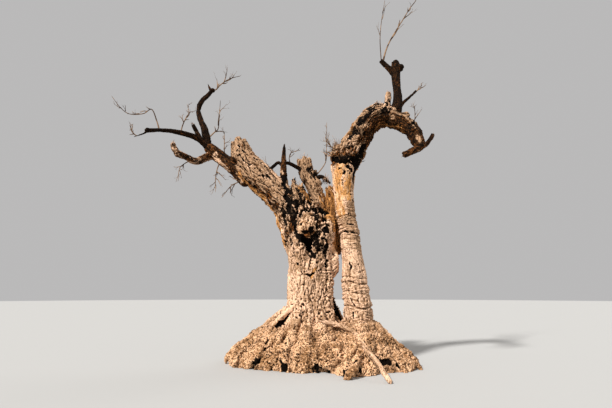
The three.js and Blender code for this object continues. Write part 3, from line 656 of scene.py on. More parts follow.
# Charred: the burl's bristles, clefts and furrows of the limb. The front hollow is charred and also painted
# black for the shade deep inside it. Painted shadow: the recess between the stems, the groove beside the
# shoulder root and the caves of the heap.
char_and_shade_marks = [
    # The front hollow: charred, and painted black for the shade deep inside it.
    (190, [(-410, -330, 2670), (-340, -200, 2640), (-318, -110, 2590)]),
    (190, [(-318, -110, 2590), (-290, -90, 2500), (-251, -110, 2413)]),
    (130, [(-251, -110, 2413), (-215, -230, 2320), (-209, -270, 2280)]),
    (110, [(-300, -380, 2660), (-250, -370, 2640), (-225, -240, 2570), (-205, -200, 2490)]),
    (62, [(-420, -470, 2910), (-300, -500, 2860), (-190, -470, 2930)]),
    (58, [(-390, -480, 2790), (-300, -500, 2860), (-180, -470, 2820)]),
    (50, [(-300, -500, 2860), (-310, -480, 2970)]), (45, [(-440, -430, 2980), (-400, -450, 2940)]),
    (38, [(-1929, 158, 4700), (-1669, 61, 4467)]),
    (38, [(-1420, 2, 4276), (-1176, -56, 4017), (-1029, -112, 3811)]),
    (36, [(-1590, 154, 4648), (-1344, 138, 4442), (-1145, 90, 4254)]),
    (45, [(-2139, 348, 4894), (-1967, 205, 4869), (-1787, 162, 4752)]),
    (90, [(-109, 42, 3280), (-109, 53, 3364), (11, 165, 3411), (128, 168, 3352), (124, 124, 3154)]),
    (85, [(101, 148, 3111), (124, -200, 2960), (110, -310, 2850)]),
    (50, [(110, -310, 2850), (97, -332, 2674)]),
    (200, [(-109, 45, 3304), (-14, 134, 3250), (56, 160, 3160), (101, 148, 3111)]),
    (120, [(152, 150, 3285), (143, 65, 3097), (121, -315, 2809)]),
    (60, [(-60, -400, 2700), (-80, -400, 2560)]),
    (70, [(52, -352, 2628), (73, -321, 2413), (96, -260, 2245), (116, -255, 2073)]),
    (110, [(-840, 140, 4145), (-803, -41, 3830), (-772, -150, 3567), (-747, -165, 3378),
         (-744, -204, 3233)]), (90, [(-592, -79, 3583), (-566, -176, 3376), (-542, -193, 3258)]),
    (80, [(-563, -212, 3049), (-562, -236, 2888), (-516, -302, 2766)]),
    (90, [(-294, 5, 3560), (-224, 50, 3399)]), (60, [(-363, 48, 3852), (-350, 48, 3800)]),
    (45, [(-319, -346, 1919), (-147, -330, 1919)]), (50, [(-479, -278, 2119), (-485, -278, 2080)]),
    (60, [(-744, -58, 2598), (-760, -30, 2560)]), (50, [(-622, -151, 1542), (-600, -160, 1500)]),
    (45, [(-2004, 251, 5014), (-1990, 240, 4980)]), (50, [(-1943, 201, 4893), (-1930, 190, 4850)]),
    (55, [(-1356, -15, 4215), (-1320, -15, 4170)]), (55, [(-1241, -11, 4163), (-1200, -15, 4130)]),
    (45, [(-2059, 207, 4658), (-2040, 200, 4620)]),
    (50, [(-1708, 270, 4866), (-1397, 173, 4503), (-1222, 135, 4342)]),
    (60, [(-1230, -3, 4178), (-1133, -22, 4075)]),
    (45, [(-1900, 160, 4290), (-1510, 45, 3924), (-1293, 27, 3703), (-1126, 5, 3532)]),
    # The recess between the stems and the groove beside the shoulder root: painted shadow.
    (200, [(215, 110, 1420), (300, 80, 1150), (380, 60, 900)]), (60, groove),
    # Caves round the foot of the heap: painted shade.
    (150, [(-1420, -527, 60), (-1320, -560, 130)]), (100, [(-1560, -500, 40), (-1720, -440, 30)]),
    (140, [(-900, -776, 150), (-790, -800, 40)]), (150, [(-150, -840, 90), (30, -850, 30)]),
    (130, [(280, -1250, 40), (400, -1284, 110)]), (120, [(560, -1150, 190), (640, -1120, 90)]),
    (130, [(1020, -800, 230), (1220, -760, 150)]),
    (120, [(1330, -682, 60), (1500, -620, 60), (1600, -520, 100)]),
]
# Smoked: round the hollow, where the limb leaves the trunk, and on the limb and the middle stub.
smoky_marks = [
    (210, [(-77, -389, 2667), (-60, -330, 2350)]), (330, [(-690, -120, 3500), (-650, -216, 3000)]),
    (180, [(-740, -90, 2980), (-700, -130, 2620)]), (120, [(-640, -210, 2650), (-560, -270, 2560)]),
    (420, [(-551, 39, 3971), (-430, -100, 3400)]), (300, [(-200, 0, 3500), (-60, -200, 3000)]),
    (120, [(-1678, 99, 4830), (-1373, 3, 4530), (-1133, -22, 4280)]),
    (150, [(-90, 330, 4250), (-230, 440, 4500)]),
]
soot_and_shade = np.maximum(nearness(points, char_and_shade_marks) * 2 - 0.3, marked(points, smoky_marks, 1.3, 0.48))
write_data(trunk, "dark", np.clip(soot_and_shade, 0.08, 1))
# Without bark: the flake and the strip on the right, the band along the limb, and the rim.
limb_band = (125, [(-1915, 170, 4240), (-1721, 192, 4036), (-1520, 142, 3852), (-1325, 122, 3653),
                   (-1156, 103, 3482), (-1042, 167, 3328), (-960, 38, 3116), (-868, 90, 2868),
                   (-794, 31, 2608)])
bare_marks = [
    (75, [(330, -60, 2400), (375, -110, 2250), (370, -110, 2120), (330, -80, 1960)]),
    (410, [(280, 150, 3900), (345, 110, 3120), (400, 90, 2400)]), limb_band,
    (120, [(-480, 40, 3900), (-300, 40, 3600)]),
    (70, [(-125, -329, 2004), (-212, -344, 1876)]),
]
write_data(trunk, "bare", marked(points, bare_marks, 1.15))
aloft = np.clip((height - 2.3) / 0.5, 0, 1)
# Faces turned down on the upper trunk and limb are darker: painted shade.
tone = 0.12 + 0.24 * aloft + 0.4 * aloft * np.clip(-vectors_of(trunk, "normal")[:, 2], 0, 1)
below_limb_end = height < 4.72 - 0.75 * (points[:, 0] + 2.1)
tone = np.maximum(tone, np.clip((-1.88 - points[:, 0]) / 0.2, 0, 0.78) * below_limb_end * aloft)
# Old dark bark, with how dark it is: the spike, the left edge, the strip and the middle stub.
toned_marks = [
    (0.8, 150, [(-820, 180, 4200), (-832, 205, 5085)]), (0.7, 90, [(-660, -216, 3130), (-629, -216, 2850)]),
    (0.6, 280, [(220, 265, 3960), (337, 205, 3120), (400, 180, 2400)]),
    (0.4, 240, [(30, 310, 3455), (-60, 380, 3795), (-200, 460, 4115), (-330, 540, 4460)]),
]
for level, *mark in toned_marks:
    tone = np.maximum(tone, marked(points, [mark], 3) * level)
streak = (75, [(-2639, 282, 4845), (-2489, 304, 4673), (-2312, 314, 4497), (-2183, 292, 4414)])
write_data(trunk, "tone", tone * (1 - 0.65 * marked(points, [streak], 2)))
worn = marked(points, [
    (560, [(-2000, 430, 5000), (-1615, 330, 4350), (-1135, 220, 3885), (-745, 140, 3450),
           (-300, 130, 3000)]),
    (300, [(30, 310, 3300), (-60, 380, 3795), (-400, 590, 4755)]),
    (300, [(220, 265, 3960), (337, 205, 3120), (400, 180, 2400)]),
], 3)
worn = np.maximum(worn, np.clip(soot_and_shade * 2, 0, 1.3) * np.clip((height - 1.7) / 0.5, 0, 1))
worn = worn * (1 - marked(points, [limb_band], 2))
flake = (170, [(262, -90, 2420), (285, -130, 2170), (235, -100, 1930)])
write_data(trunk, "worn", worn - 1.6 * marked(points, [flake], 2))
write_data(trunk, "coarse", 0.85 + 0.4 * aloft)
write_data(trunk, "wrinkle", marked(points, [(330, [(150, -150, 1950), (180, -80, 1300)])], 1.8))
carved = [(100, groove), (180, [(-300, -330, 2640), (-290, -340, 2500), (-211, -364, 2258)])]
write_data(trunk, "sink", marked(points, carved) * 0.06)
raise_relief(trunk)
trunk.data.materials.clear()
trunk.data.materials.append(bark)
ground, waist, fork, saddle = (0, 0, 0), (0, 0, 1.1), (-1.0, 0, 0), (0.36, 0, 0)
down, up, leftward, rightward = (0, 0, -1), (0, 0, 1), (-1, 0, 0), (1, 0, 0)
share_out(trunk, {
    "root_heap": ([(saddle, rightward), (ground, down), (waist, up)], "heap", ["trunk"]),
    "second_root_heap": ([(saddle, leftward), (ground, down), (waist, up)], "heap", ["trunk"]),
    "hollow_trunk": ([(fork, leftward), (waist, down)], "bark",
                     ["trunk", "rim_wall", "rim_spike", "middle_stub", "back_stub", "dead_strip"]),
    "broken_limb": ([(fork, rightward), (waist, down)], "bark", ["left_limb", "left_branch"]),
})

# Second stem and its arch
# A slimmer stem of the same wood, ringed and bare on its left face, that swells into a rough
# collar, leans over to the right in a thick lumpy arch and droops to two broken prongs.
stem_limbs = {
    "second_stem": dict(lumps=0.05, knots=[
        (430, -110, 4600, 165), (560, -270, 4480, 150), (760, -30, 4420, 150), (640, 150, 4620, 170),
    ], path=[
        (800, -100, 420, 330), (790, -100, 760, 310), (776, -100, 1205, 290), (774, -100, 1250, 303),
        (771, -100, 1295, 285), (748, -100, 1500, 273), (743, -100, 1541, 285), (738, -100, 1582, 268),
        (718, -100, 1730, 259), (714, -100, 1770, 271), (710, -100, 1810, 254), (690, -100, 2150, 228),
        (668, -100, 2450, 210), (640, -100, 2795, 198), (634, -99, 2840, 212), (628, -98, 2880, 196),
        (584, -95, 3155, 203), (577, -95, 3200, 219), (571, -95, 3245, 203), (530, -90, 3800, 218),
        (545, -75, 4250, 262), (625, -60, 4600, 300)]),
    "arch_bough": dict(lumps=0.07, knots=[
        (1380, -240, 5735, 169), (1000, -280, 5225, 119), (450, -120, 4740, 130),
    ], path=[
        (600, -60, 4480, 250), (740, -70, 4795, 289), (885, -90, 5060, 243), (1055, -130, 5340, 232),
        (1280, -180, 5555, 254), (1560, -230, 5625, 251)]),
    "droop_bough_upper": dict(lumps=0.09, knots=[(2020, -500, 5275, 105), (2125, -400, 5245, 100)], path=[
        (1485, -220, 5610, 207), (1700, -285, 5470, 173), (1865, -360, 5360, 164),
        (2030, -450, 5200, 164)]),
    "droop_bough_lower": dict(lumps=0.09, path=[
        (1995, -430, 5255, 114), (2095, -520, 5035, 152), (2155, -620, 4785, 118), (2180, -680, 4610, 87)]),
    "droop_prong_inner": dict(lumps=0.12, broken=0.3, path=[
        (2190, -680, 4630, 57), (2005, -740, 4535, 65), (1885, -780, 4470, 56), (1775, -810, 4410, 59)]),
    "droop_prong_outer": dict(lumps=0.1, broken=0.3, path=[
        (2180, -680, 4630, 49), (2285, -720, 4685, 48), (2365, -750, 4765, 40), (2450, -780, 4905, 34)]),
    "arch_side_stub": dict(lumps=0.1, broken=0.3, path=[
        (1725, -290, 5530, 87), (1860, -230, 5595, 66), (1990, -180, 5625, 57), (2090, -140, 5655, 65)]),
    "arch_top_stub": dict(lumps=0.16, broken=0.4, path=[
        (1575, -220, 5720, 81), (1615, -200, 6010, 65), (1635, -190, 6120, 60), (1645, -180, 6205, 53)]),
}
stem = joined("arched_stem", limb_skins(stem_limbs))
one_skin(stem, voxel=0.012, rounds=14)
points = read_grain(stem, [limb["path"] for limb in stem_limbs.values()])
faces_down = -vectors_of(stem, "normal")[:, 2]
on_arch = np.clip((points[:, 2] - 4.5) / 0.3, 0, 1)
write_data(stem, "heap", np.clip((0.98 - points[:, 2]) / 0.14, 0, 1))
# Charred: the drips below the collar and lines round the stem. Painted shadow: the underside of the collar,
# where the arch shades it. The right edge is charred and also painted dark for the shade on the side turned
# from the light.
char_and_shade_marks = [
    # The underside of the collar: painted shadow.
    (150, [(330, -180, 4500), (374, -244, 4500), (497, -391, 4441), (659, -354, 4429), (836, -224, 4496)]),
    (105, [(425, -320, 4400), (412, -310, 4290)]), (110, [(630, -320, 4400), (660, -300, 4250)]),
    (70, [(490, -325, 4175), (494, -325, 4120)]), (85, [(600, -315, 4160), (680, -290, 4140)]),
    # The right edge: charred, with painted shade on the side away from the light.
    (230, [(900, -180, 4800), (867, -160, 4403), (820, -190, 4227)]),
    (160, [(840, -160, 4400), (800, -160, 4227)]), (125, [(795, -150, 4200), (765, -150, 3980)]),
    (85, [(758, -150, 3980), (750, -150, 3787), (746, -150, 3560)]),
    (45, [(701, -233, 3734), (690, -240, 3700)]), (40, [(633, -311, 2155), (649, -327, 1983)]),
    (35, [(632, -346, 1356), (667, -359, 1151), (681, -377, 950)]),
    (140, [(450, -60, 1300), (430, -130, 1050)]),
    (40, [(560, -310, 3215), (700, -260, 3225), (760, -170, 3235)]),
    (36, [(430, -280, 2985), (560, -310, 2975), (720, -250, 2985)]),
    (40, [(450, -280, 2790), (600, -300, 2780), (760, -250, 2800)]),
]
# Smoked: the left side and the top of the arch.
smoky_marks = [
    (110, [(674, -328, 4945), (826, -285, 5200), (979, -326, 5117)]),
    (130, [(963, -334, 5386), (1011, -339, 5484), (1192, -403, 5604), (1334, -406, 5703)]),
    (170, [(1180, -300, 5700), (1330, -330, 5850), (1480, -260, 5830)]),
    (140, [(1440, -440, 5720), (1590, -420, 5640)]), (120, [(1980, -470, 5330), (2060, -560, 5150)]),
    (120, [(2149, -487, 5270), (2120, -480, 5250)]),
]
smoke = np.maximum(marked(points, smoky_marks, 1.6, 0.62), 0.34 * on_arch)
soot_and_shade = np.maximum(nearness(points, char_and_shade_marks) * 2 - 0.3, smoke)
write_data(stem, "dark", np.clip(soot_and_shade, 0.05, 1))
bulge = marked(points, [(420, [(430, -110, 4640), (640, -100, 4600)])], 3)
ringed = np.clip(1.2 - np.abs(points[:, 2] - 2.95) / 0.6, 0, 0.9)
write_data(stem, "worn", 1.4 * on_arch - 0.4 + 1.2 * ringed * np.clip((points[:, 0] - 0.42) * 6, 0, 1))
drooping = np.clip((points[:, 0] - 1.6) * 4, 0, 1)
# Worn pale: the warts of the droop and the side stub.
pale_marks = [
    (130, [(1990, -520, 5330), (2060, -560, 5270)]), (90, [(2181, -640, 4850), (2180, -640, 4750)]),
    (120, [(1725, -290, 5540), (1990, -180, 5625), (2090, -140, 5655)]),
]
# Faces turned down on the arch are darker: painted shade on its underside. The droop is darker too, and the
# worn warts paler.
tone = 0.44 + 0.5 * faces_down + 0.4 * drooping - 1.5 * marked(points, pale_marks, 1, 0.5)
tone = on_arch * np.clip(tone, 0.05, 0.95)
prongs = [(170, [(2190, -680, 4630), (1775, -810, 4410)]), (150, [(2180, -680, 4630), (2450, -780, 4905)])]
tone = np.maximum(tone, marked(points, prongs, 3, 0.75))
write_data(stem, "tone", tone + 0.6 * bulge * (1 - on_arch) + 0.05)
# Without bark: the golden front below the collar, and streaks along the arch and the droop.
bare_marks = [
    (190, [(440, -292, 4300), (410, -267, 4053), (405, -248, 3777), (424, -244, 3477), (443, -240, 3248)]),
    (150, [(520, -340, 4330), (600, -320, 4200), (600, -300, 3900), (610, -290, 3600)]),
    (60, [(642, -215, 5063), (783, -253, 5271), (900, -200, 5450)]),
    (70, [(1264, -250, 5316), (1498, -270, 5380), (1705, -350, 5300), (1899, -480, 5146)]),
]
write_data(stem, "bare", marked(points, bare_marks, 1.2))
write_data(stem, "coarse", np.clip(0.4 + (points[:, 2] - 4.1) * 3, 0.4, 1.5))
write_data(stem, "wrinkle", np.maximum(np.clip((2.1 - points[:, 2]) / 0.6, 0, 0.5), ringed))
sink = np.zeros(len(points))
waver = 0.03 * np.sin(points[:, 0] * 9) + 0.02 * np.sin(points[:, 1] * 13 + 2)
for height, depth in ((3.14, 0.03), (2.95, 0.012), (2.78, 0.03), (2.62, 0.012), (2.42, 0.012), (1.81, 0.02),
                      (1.70, 0.028), (1.5, 0.02), (1.34, 0.012), (1.2, 0.03)):
    sink = np.maximum(sink, np.exp(-(((points[:, 2] + waver - height) / 0.02) ** 2)) * depth)
write_data(stem, "sink", sink)
raise_relief(stem)
stem.data.materials.append(bark)
collar = (0, 0, 4.3)
share_out(stem, {
    "second_trunk": ([(collar, up)], "bark", ["second_stem"]),
    "arched_bough": ([(collar, down)], "bark", [name for name in stem_limbs if name != "second_stem"]),
})

# Dark boughs
# Thin live-barked boughs that died last: two rise and spread from the end of the left limb, one
# stands up from the arch. Their bark is near black with brown edges.
bough_groups = {
    "crown_boughs": {
        "crown_bough": dict(lumps=0.06, knots=[(2030, 120, 7050, 92)], path=[
            (1690, -240, 5580, 153), (1800, -180, 5760, 130), (1870, -110, 6025, 100),
            (1890, -20, 6365, 92), (1900, 60, 6735, 94), (1915, 110, 7005, 114), (1925, 140, 7220, 79)]),
        "crown_arm": dict(lumps=0.1, broken=0.2, path=[
            (1875, 90, 6860, 77), (1780, 110, 6990, 71), (1665, 110, 7110, 58), (1555, 100, 7240, 51)]),
        "side_shoot": dict(lumps=0.05, path=[
            (1905, -150, 5845, 48), (1995, -230, 5940, 38), (2125, -320, 6035, 30),
            (2255, -400, 6145, 25)]),
    },
    "left_boughs": {
        "upright_bough_lower": dict(lumps=0.05, path=[
            (-2715, 390, 4925, 82), (-2845, 450, 5325, 96), (-2935, 540, 5605, 87), (-3070, 640, 5885, 75),
            (-3170, 740, 6150, 66)]),
        "upright_bough_upper": dict(lumps=0.08, knots=[(-2870, 930, 6855, 77)], path=[
            (-3165, 735, 6115, 52), (-3160, 780, 6340, 66), (-3090, 850, 6535, 64), (-2995, 900, 6680, 64),
            (-2895, 930, 6835, 59)]),
        "upright_prong": dict(lumps=0.1, pointed=True, path=[
            (-2890, 925, 6810, 52), (-2955, 940, 6935, 39), (-3020, 950, 7085, 10)]),
        "across_bough": dict(lumps=0.07, knots=[(-3940, -500, 5115, 71)], path=[
            (-2720, 370, 4980, 93), (-2890, 290, 5135, 86), (-3030, 180, 5205, 78), (-3225, 30, 5235, 70),
            (-3490, -150, 5230, 59), (-3720, -330, 5180, 53), (-3950, -500, 5110, 53)]),
        "across_tip": dict(lumps=0.05, path=[
            (-3940, -490, 5105, 39), (-4005, -540, 5020, 27), (-4095, -600, 4950, 20),
            (-4180, -640, 4895, 16)]),
        "fork_stub": dict(lumps=0.15, broken=0.4, path=[
            (-2925, 270, 5190, 62), (-3020, 240, 5345, 60), (-3080, 225, 5460, 56),
            (-3130, 210, 5560, 45)]),
    },
    "low_boughs": {
        "low_bough": dict(lumps=0.08, knots=[(-3330, -145, 4675, 92)], path=[
            (-2665, 390, 4825, 103), (-2845, 300, 4710, 90), (-2935, 190, 4605, 80), (-3055, 70, 4585, 74),
            (-3175, -50, 4635, 72), (-3305, -140, 4670, 80)]),
        "low_bough_end": dict(lumps=0.15, broken=0.4, path=[
            (-3325, -150, 4680, 35), (-3380, -190, 4745, 69), (-3425, -210, 4830, 58),
            (-3440, -220, 4900, 49)]),
    },
    "rim_branches": {
        "rim_branch": dict(lumps=0.1, path=[
            (-900, 200, 4480, 34), (-1000, 210, 4575, 36), (-1100, 190, 4500, 36), (-1210, 160, 4380, 38)]),
        "cross_branch": dict(lumps=0.1, path=[
            (-870, 230, 4570, 34), (-745, 320, 4585, 40), (-565, 420, 4525, 45), (-400, 490, 4420, 51)]),
        "stub_side_branch": dict(lumps=0.1, broken=0.3, path=[
            (-85, 470, 4240, 61), (35, 455, 4290, 50), (140, 420, 4225, 35), (250, 390, 4095, 26)]),
    },
    "surface_root": {
        "long_root": dict(lumps=0.08, path=[
            (-95, -520, 975, 34), (60, -500, 915, 37), (220, -450, 875, 38), (505, -470, 785, 38),
            (625, -570, 725, 38), (780, -890, 485, 37), (865, -1080, 375, 36), (960, -1320, 275, 34),
            (1025, -1590, 130, 32), (1080, -1830, 30, 27)]),
    },
}
# Tone, wear, sunk depth in metres and coarseness of the bark of each group.
bough_looks = {
    "crown_boughs": (0.9, 1, 0.004, 1), "left_boughs": (0.8, 1, 0.014, 1),
    "low_boughs": (0.58, 0, 0.004, 1), "rim_branches": (0.9, 1, 0.004, 1),
    "surface_root": (0.36, 0, 0, 1.8),
}
for name, limbs in bough_groups.items():
    piece = joined(name, limb_skins(limbs, around=20, spacing=0.03))
    one_skin(piece, voxel=0.007, rounds=8)
    points = read_grain(piece, [limb["path"] for limb in limbs.values()])
    tone, worn, sink, coarse = bough_looks[name]
    for layer, value in {"heap": 0, "bare": 0, "wrinkle": 0, "sink": sink, "worn": worn, "coarse": coarse,
                         "dark": 0.2, "tone": tone}.items():
        write_data(piece, layer, np.full(len(points), float(value)))
    raise_relief(piece)
    piece.data.materials.append(bark)
    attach(piece, "root")
    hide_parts(*limbs)

# Splinters
# Slivers and fibres of torn wood that stand up where limbs broke off, and the tuft of dead shoots
# on the collar of the second stem. Each spot is [place in mm, heading, spread, count, length, radius].
splinter_spots = [
    [(-2050, 505, 5200), (-0.25, 0.1, 1), 110, 34, 150, 7],
    [(-405, 595, 4750), (-0.2, 0.1, 1), 110, 34, 140, 7], [(20, 990, 3250), (0.2, 0.3, 1), 110, 24, 150, 7],
    [(-560, 100, 3930), (-0.1, 0, 1), 90, 18, 200, 8], [(-420, 80, 3900), (-0.2, 0, 1), 60, 10, 160, 8],
    [(-600, 100, 4050), (0, 0, 1), 50, 10, 160, 8], [(230, 260, 3900), (-0.3, 0, 1), 80, 34, 230, 8],
    [(360, 160, 2480), (0.3, -0.2, -1), 70, 16, 220, 8],
    [(300, -160, 4700), (-1, -0.3, 0.3), 130, 60, 230, 10],
    [(380, -160, 4860), (-0.4, -0.3, 1), 120, 36, 230, 8],
    [(480, -330, 4560), (-0.4, -0.8, 0.2), 190, 70, 150, 11],
    [(860, -120, 4560), (0.9, -0.4, 0.1), 130, 24, 130, 9], [(1640, -180, 6200), (0, 0, 1), 40, 14, 90, 7],
    [(1785, -808, 4412), (-1, -0.1, -0.3), 40, 16, 80, 7],
    [(2448, -780, 4900), (0.3, -0.1, 1), 24, 10, 70, 6], [(2085, -140, 5655), (1, 0.2, 0.2), 45, 10, 70, 6],
    [(-3440, -220, 4895), (0, 0, 1), 42, 18, 110, 7], [(-3130, 210, 5555), (-0.3, 0, 1), 36, 12, 90, 7],
    [(-850, 190, 4560), (-0.3, -0.3, 1), 60, 10, 90, 7],
    [(1380, -260, 5850), (-0.2, -0.3, 1), 110, 24, 90, 9],
    [(1000, -330, 5250), (-0.3, -1, 0.4), 130, 20, 90, 8],
    [(150, 440, 4200), (0.4, -0.1, 0.8), 90, 26, 190, 10],
]


def sliver_skins(place, heading, spread, count, length, radius, draw):
    skins = []
    for _ in range(count):
        aim = np.array(heading) + 0.3 * draw.normal(size=3)
        aim = aim / np.linalg.norm(aim)
        reach = length * draw.uniform(0.4, 1.15)
        thick = radius * draw.uniform(0.4, 1.2)
        start = np.array(place) + 0.5 * spread * draw.normal(size=3) - aim * 0.35 * reach
        bend = 0.12 * reach * draw.normal(size=3)
        rows = [(*(start + aim * reach * share + bend * share * share), thick * (1 - 0.8 * share))
                for share in (0, 0.4, 0.75, 1)]
        skins.append(limb_skin(rows, flat=0.5, pointed=True, around=5, spacing=0.04))
    return skins


draw = np.random.default_rng(31)
slivers = [skin for spot in splinter_spots for skin in sliver_skins(*spot, draw)]
splinters = joined("splinters", slivers)
write_data(splinters, "grain", vectors_of(splinters, "co"))
tones = [np.full(len(points), draw.choice([0.1, 0.45, 0.9])) for points, _ in slivers]
write_data(splinters, "tone", np.concatenate(tones))
splinters.data.materials.append(bark)
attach(splinters, "root")
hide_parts("left_limb", "middle_stub", "rim_wall", "dead_strip", "second_stem", "arch_top_stub")

# Twigs
# Bare grey-brown twigs that shoot from the boughs and branch again and again. Each mass grows from
# one stem by a seeded rule, and a twig that would pass through a limb is left out.
first_seed, tree_top = 11, 9750
masses = {
    "twigs_crown_long": dict(length=520, spread=0.45, stem=[
        (1595, 102, 7165, 41), (1680, 110, 7485, 32), (1800, 130, 7785, 28), (2005, 160, 8155, 26),
        (2220, 190, 8525, 22), (2405, 220, 8845, 19), (2600, 250, 9145, 15), (2740, 280, 9750, 9)]),
    "twigs_crown_pale": dict(shoots=3, length=380, spread=0.4, stem=[
        (1560, 100, 7225, 20), (1545, 60, 7770, 17), (1560, 30, 8040, 14), (1600, 0, 8345, 13),
        (1695, -40, 8885, 8)]),
    "twigs_side_shoot": dict(shoots=3, length=170, room=160, stem=[
        (2220, -385, 6115, 23), (2305, -440, 6160, 19), (2430, -500, 6210, 10)]),
    "twigs_upright_tip": dict(length=480, room=420, spread=0.7, lift=0.3, stem=[
        (-2890, 925, 6845, 35), (-2780, 950, 6890, 30), (-2675, 970, 7035, 25), (-2435, 1010, 7240, 18),
        (-2155, 1060, 7360, 10)]),
    "twigs_upright_side": dict(length=420, room=330, stem=[
        (-2815, 450, 5265, 31), (-2660, 490, 5460, 25), (-2585, 540, 5565, 21), (-2575, 580, 5930, 16),
        (-2565, 600, 6410, 9)]),
    "twigs_across_middle": dict(length=330, room=300, stem=[
        (-3330, -70, 5225, 23), (-3290, -40, 5460, 21), (-3240, -10, 5630, 19), (-3185, 20, 5790, 14),
        (-3255, 40, 6025, 9)]),
    "twigs_across_far": dict(length=300, room=220, stem=[
        (-3735, -340, 5180, 31), (-3790, -380, 5375, 24), (-3930, -420, 5665, 19), (-4075, -470, 5535, 17),
        (-4395, -510, 5510, 15), (-4600, -540, 5660, 12), (-4820, -560, 5940, 8)]),
    "twigs_across_tip": dict(length=240, room=240, stem=[
        (-4125, -610, 4930, 22), (-4205, -640, 4990, 17), (-4270, -660, 5160, 9)]),
    "twigs_low_bough": dict(length=260, lift=-0.12, stem=[
        (-3085, 40, 4570, 25), (-3215, 0, 4475, 17), (-3300, -30, 4365, 13), (-3310, -60, 4020, 8)]),
    "twigs_left_branch": dict(length=300, lift=-0.12, stem=[
        (-2435, 380, 4675, 30), (-2500, 340, 4470, 21), (-2525, 300, 4165, 17), (-2505, 270, 3845, 8)]),
    "twigs_limb_under": dict(length=280, lift=-0.08, stem=[
        (-1870, 350, 4230, 30), (-1925, 310, 4140, 24), (-2115, 270, 4025, 19), (-2350, 220, 3705, 8)]),
    "twigs_limb_top": dict(length=240, stem=[
        (-2310, 380, 4700, 25), (-2365, 420, 4920, 19), (-2385, 450, 5250, 15), (-2400, 470, 5480, 8)]),
    "twigs_rim": dict(length=220, room=220, stem=[
        (-717, 322, 4563, 22), (-748, 240, 4700, 17), (-700, 180, 4810, 14), (-460, 140, 4870, 8)]),
    "twigs_middle_stub": dict(length=280, room=220, stem=[
        (-85, 480, 4330, 26), (150, 540, 4700, 18), (180, 590, 5140, 13), (195, 630, 5810, 8)]),
    "twigs_collar": dict(shoots=5, length=260, stem=[
        (430, -130, 4700, 24), (250, -260, 4800, 17), (145, -330, 4895, 13), (95, -380, 5000, 8)]),
    "twigs_droop": dict(length=240, stem=[
        (2105, -440, 5265, 19), (2160, -460, 5405, 15), (2170, -460, 5575, 11), (2175, -450, 5755, 8)]),
    "twigs_arch": dict(length=220, stem=[
        (965, -250, 5025, 24), (945, -400, 5035, 18), (935, -470, 5080, 13), (935, -510, 5210, 8)]),
    "twigs_back_stub": dict(length=360, room=320, stem=[
        (20, 1000, 3200, 30), (30, 1130, 3420, 24), (-60, 1250, 3640, 17), (-90, 1330, 3960, 9)]),
    "twigs_back_limb": dict(length=360, room=320, stem=[
        (-1250, 380, 3960, 30), (-1330, 680, 4180, 24), (-1360, 860, 4460, 17), (-1330, 960, 4800, 9)]),
}


def draws(seed):
    """Repeatable draws between 0 and 1."""
    word = 0xFFFFFFFF
    state = seed & word

    def draw():
        nonlocal state
        state = (state + 0x6D2B79F5) & word
        mixed = ((state ^ (state >> 15)) * (1 | state)) & word
        again = ((mixed ^ (mixed >> 7)) * (61 | mixed)) & word
        mixed = ((mixed + again) & word) ^ mixed
        return (mixed ^ (mixed >> 14)) / (word + 1)

    return draw


def twig_rows(parent, share, length, spread, lift, thinnest, draw):
    """One twig: it leaves its parent at "spread" from the parent's heading, wanders, and rises."""
    at = share * (len(parent) - 1)
    index = min(int(at), len(parent) - 2)
    start, end = np.array(parent[index]), np.array(parent[index + 1])
    row = start + (end - start) * (at - index)
    heading = (end - start)[:3] / np.linalg.norm((end - start)[:3])
    side = np.cross([draw() - 0.5, draw() - 0.5, draw() - 0.5], heading)
    heading = heading * math.cos(spread) + side / np.linalg.norm(side) * math.sin(spread)
    radius = max(row[3] * 0.7, thinnest)
    rows = [(*row[:3], radius)]
    for step in range(1, 4):
        heading = heading + [0.55 * (draw() - 0.5), 0.55 * (draw() - 0.5), 0.55 * (draw() - 0.5) + lift]
        heading = heading / np.linalg.norm(heading)
        spot = np.array(rows[-1][:3]) + heading * length / 3
        rows.append((*spot, radius * (1 - step / 4)))
    return rows


def corners_of(nodes):
    """The points and faces of several CAD nodes as one list each."""
    points, faces = [], []
    for node in nodes:
        base = len(points)
        points += [vertex.co.copy() for vertex in node.data.vertices]
        faces += [[base + corner for corner in face.vertices] for face in node.data.polygons]
    return points, faces


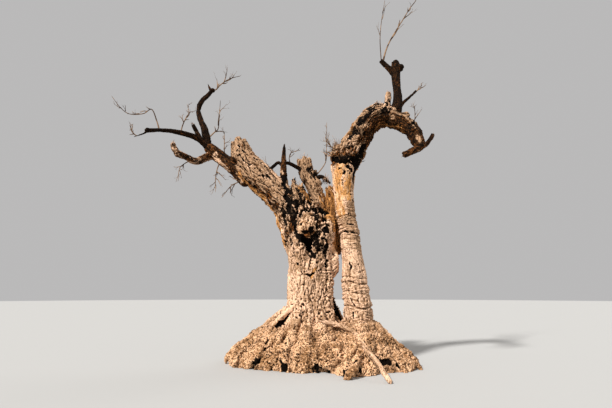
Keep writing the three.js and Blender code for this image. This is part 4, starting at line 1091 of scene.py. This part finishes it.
limb_nodes = [node for name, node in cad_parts.items() if not name.startswith("twigs_")]
solid_wood = BVHTree.FromPolygons(*corners_of(limb_nodes))


def grow_mass(seed, stem, length, shoots=4, room=260, spread=0.8, lift=0.12):
    """Points and faces of the stem of a mass and of all twigs that grow on it."""
    stem_points = np.array(stem)[:, :3]
    low, high = stem_points.min(0) - room, stem_points.max(0) + room
    high[2] = min(high[2], tree_top)
    skins = [limb_skin([(*row[:3], row[3] * 0.6) for row in stem], pointed=True, around=7, spacing=0.03)]

    def blocked(rows):
        spots = np.array(rows)[:, :3]
        if (spots <= low).any() or (spots >= high).any():
            return True
        for start, end in zip(spots[:-1] * mm, spots[1:] * mm):
            if solid_wood.ray_cast(Vector(start), Vector(end - start), np.linalg.norm(end - start))[0]:
                return True
        return False

    def branch(parent, level, count, longest, key):
        for index in range(count):
            draw = draws(key * 31 + index)
            share = 0.3 + (0.65 * (index + draw())) / count
            reach = longest * (0.6 + 0.7 * draw()) * (1.15 - 0.6 * share)
            rows = twig_rows(parent, share, reach, spread, lift, 1.8 + level, draw)
            if blocked(rows):
                continue
            skins.append(limb_skin(rows, pointed=True, around=5, spacing=0.04))
            if level > 1:
                branch(rows, level - 1, 1 + level % 2, longest * 0.5, key * 31 + index + 7)

    branch(stem, 3, shoots, length, seed)
    branch(stem, 1, shoots, length * 0.4, seed + 100)
    return skins


twig_bark, shader = new_finish("twig_bark")
tools = Tools(twig_bark.node_tree)
patches = tools.noise(tools.node("ShaderNodeTexCoord", output="Object"), 5.0, 3.0, 0.6)
skin = tools.tint(tools.step(patches, 0.4, 0.62), (0.06, 0.03, 0.015, 1), (0.28, 0.17, 0.095, 1))
twig_bark.node_tree.links.new(skin.socket, shader.inputs["Base Color"])
shader.inputs["Roughness"].default_value = 0.9
shader.inputs["Specular IOR Level"].default_value = 0.1
for seed, (name, form) in enumerate(masses.items(), first_seed):
    piece = joined(name + "_fine", grow_mass(seed, **form))
    piece.data.shade_smooth()
    piece.data.materials.append(twig_bark)
    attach(piece, "root")
    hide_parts(name)
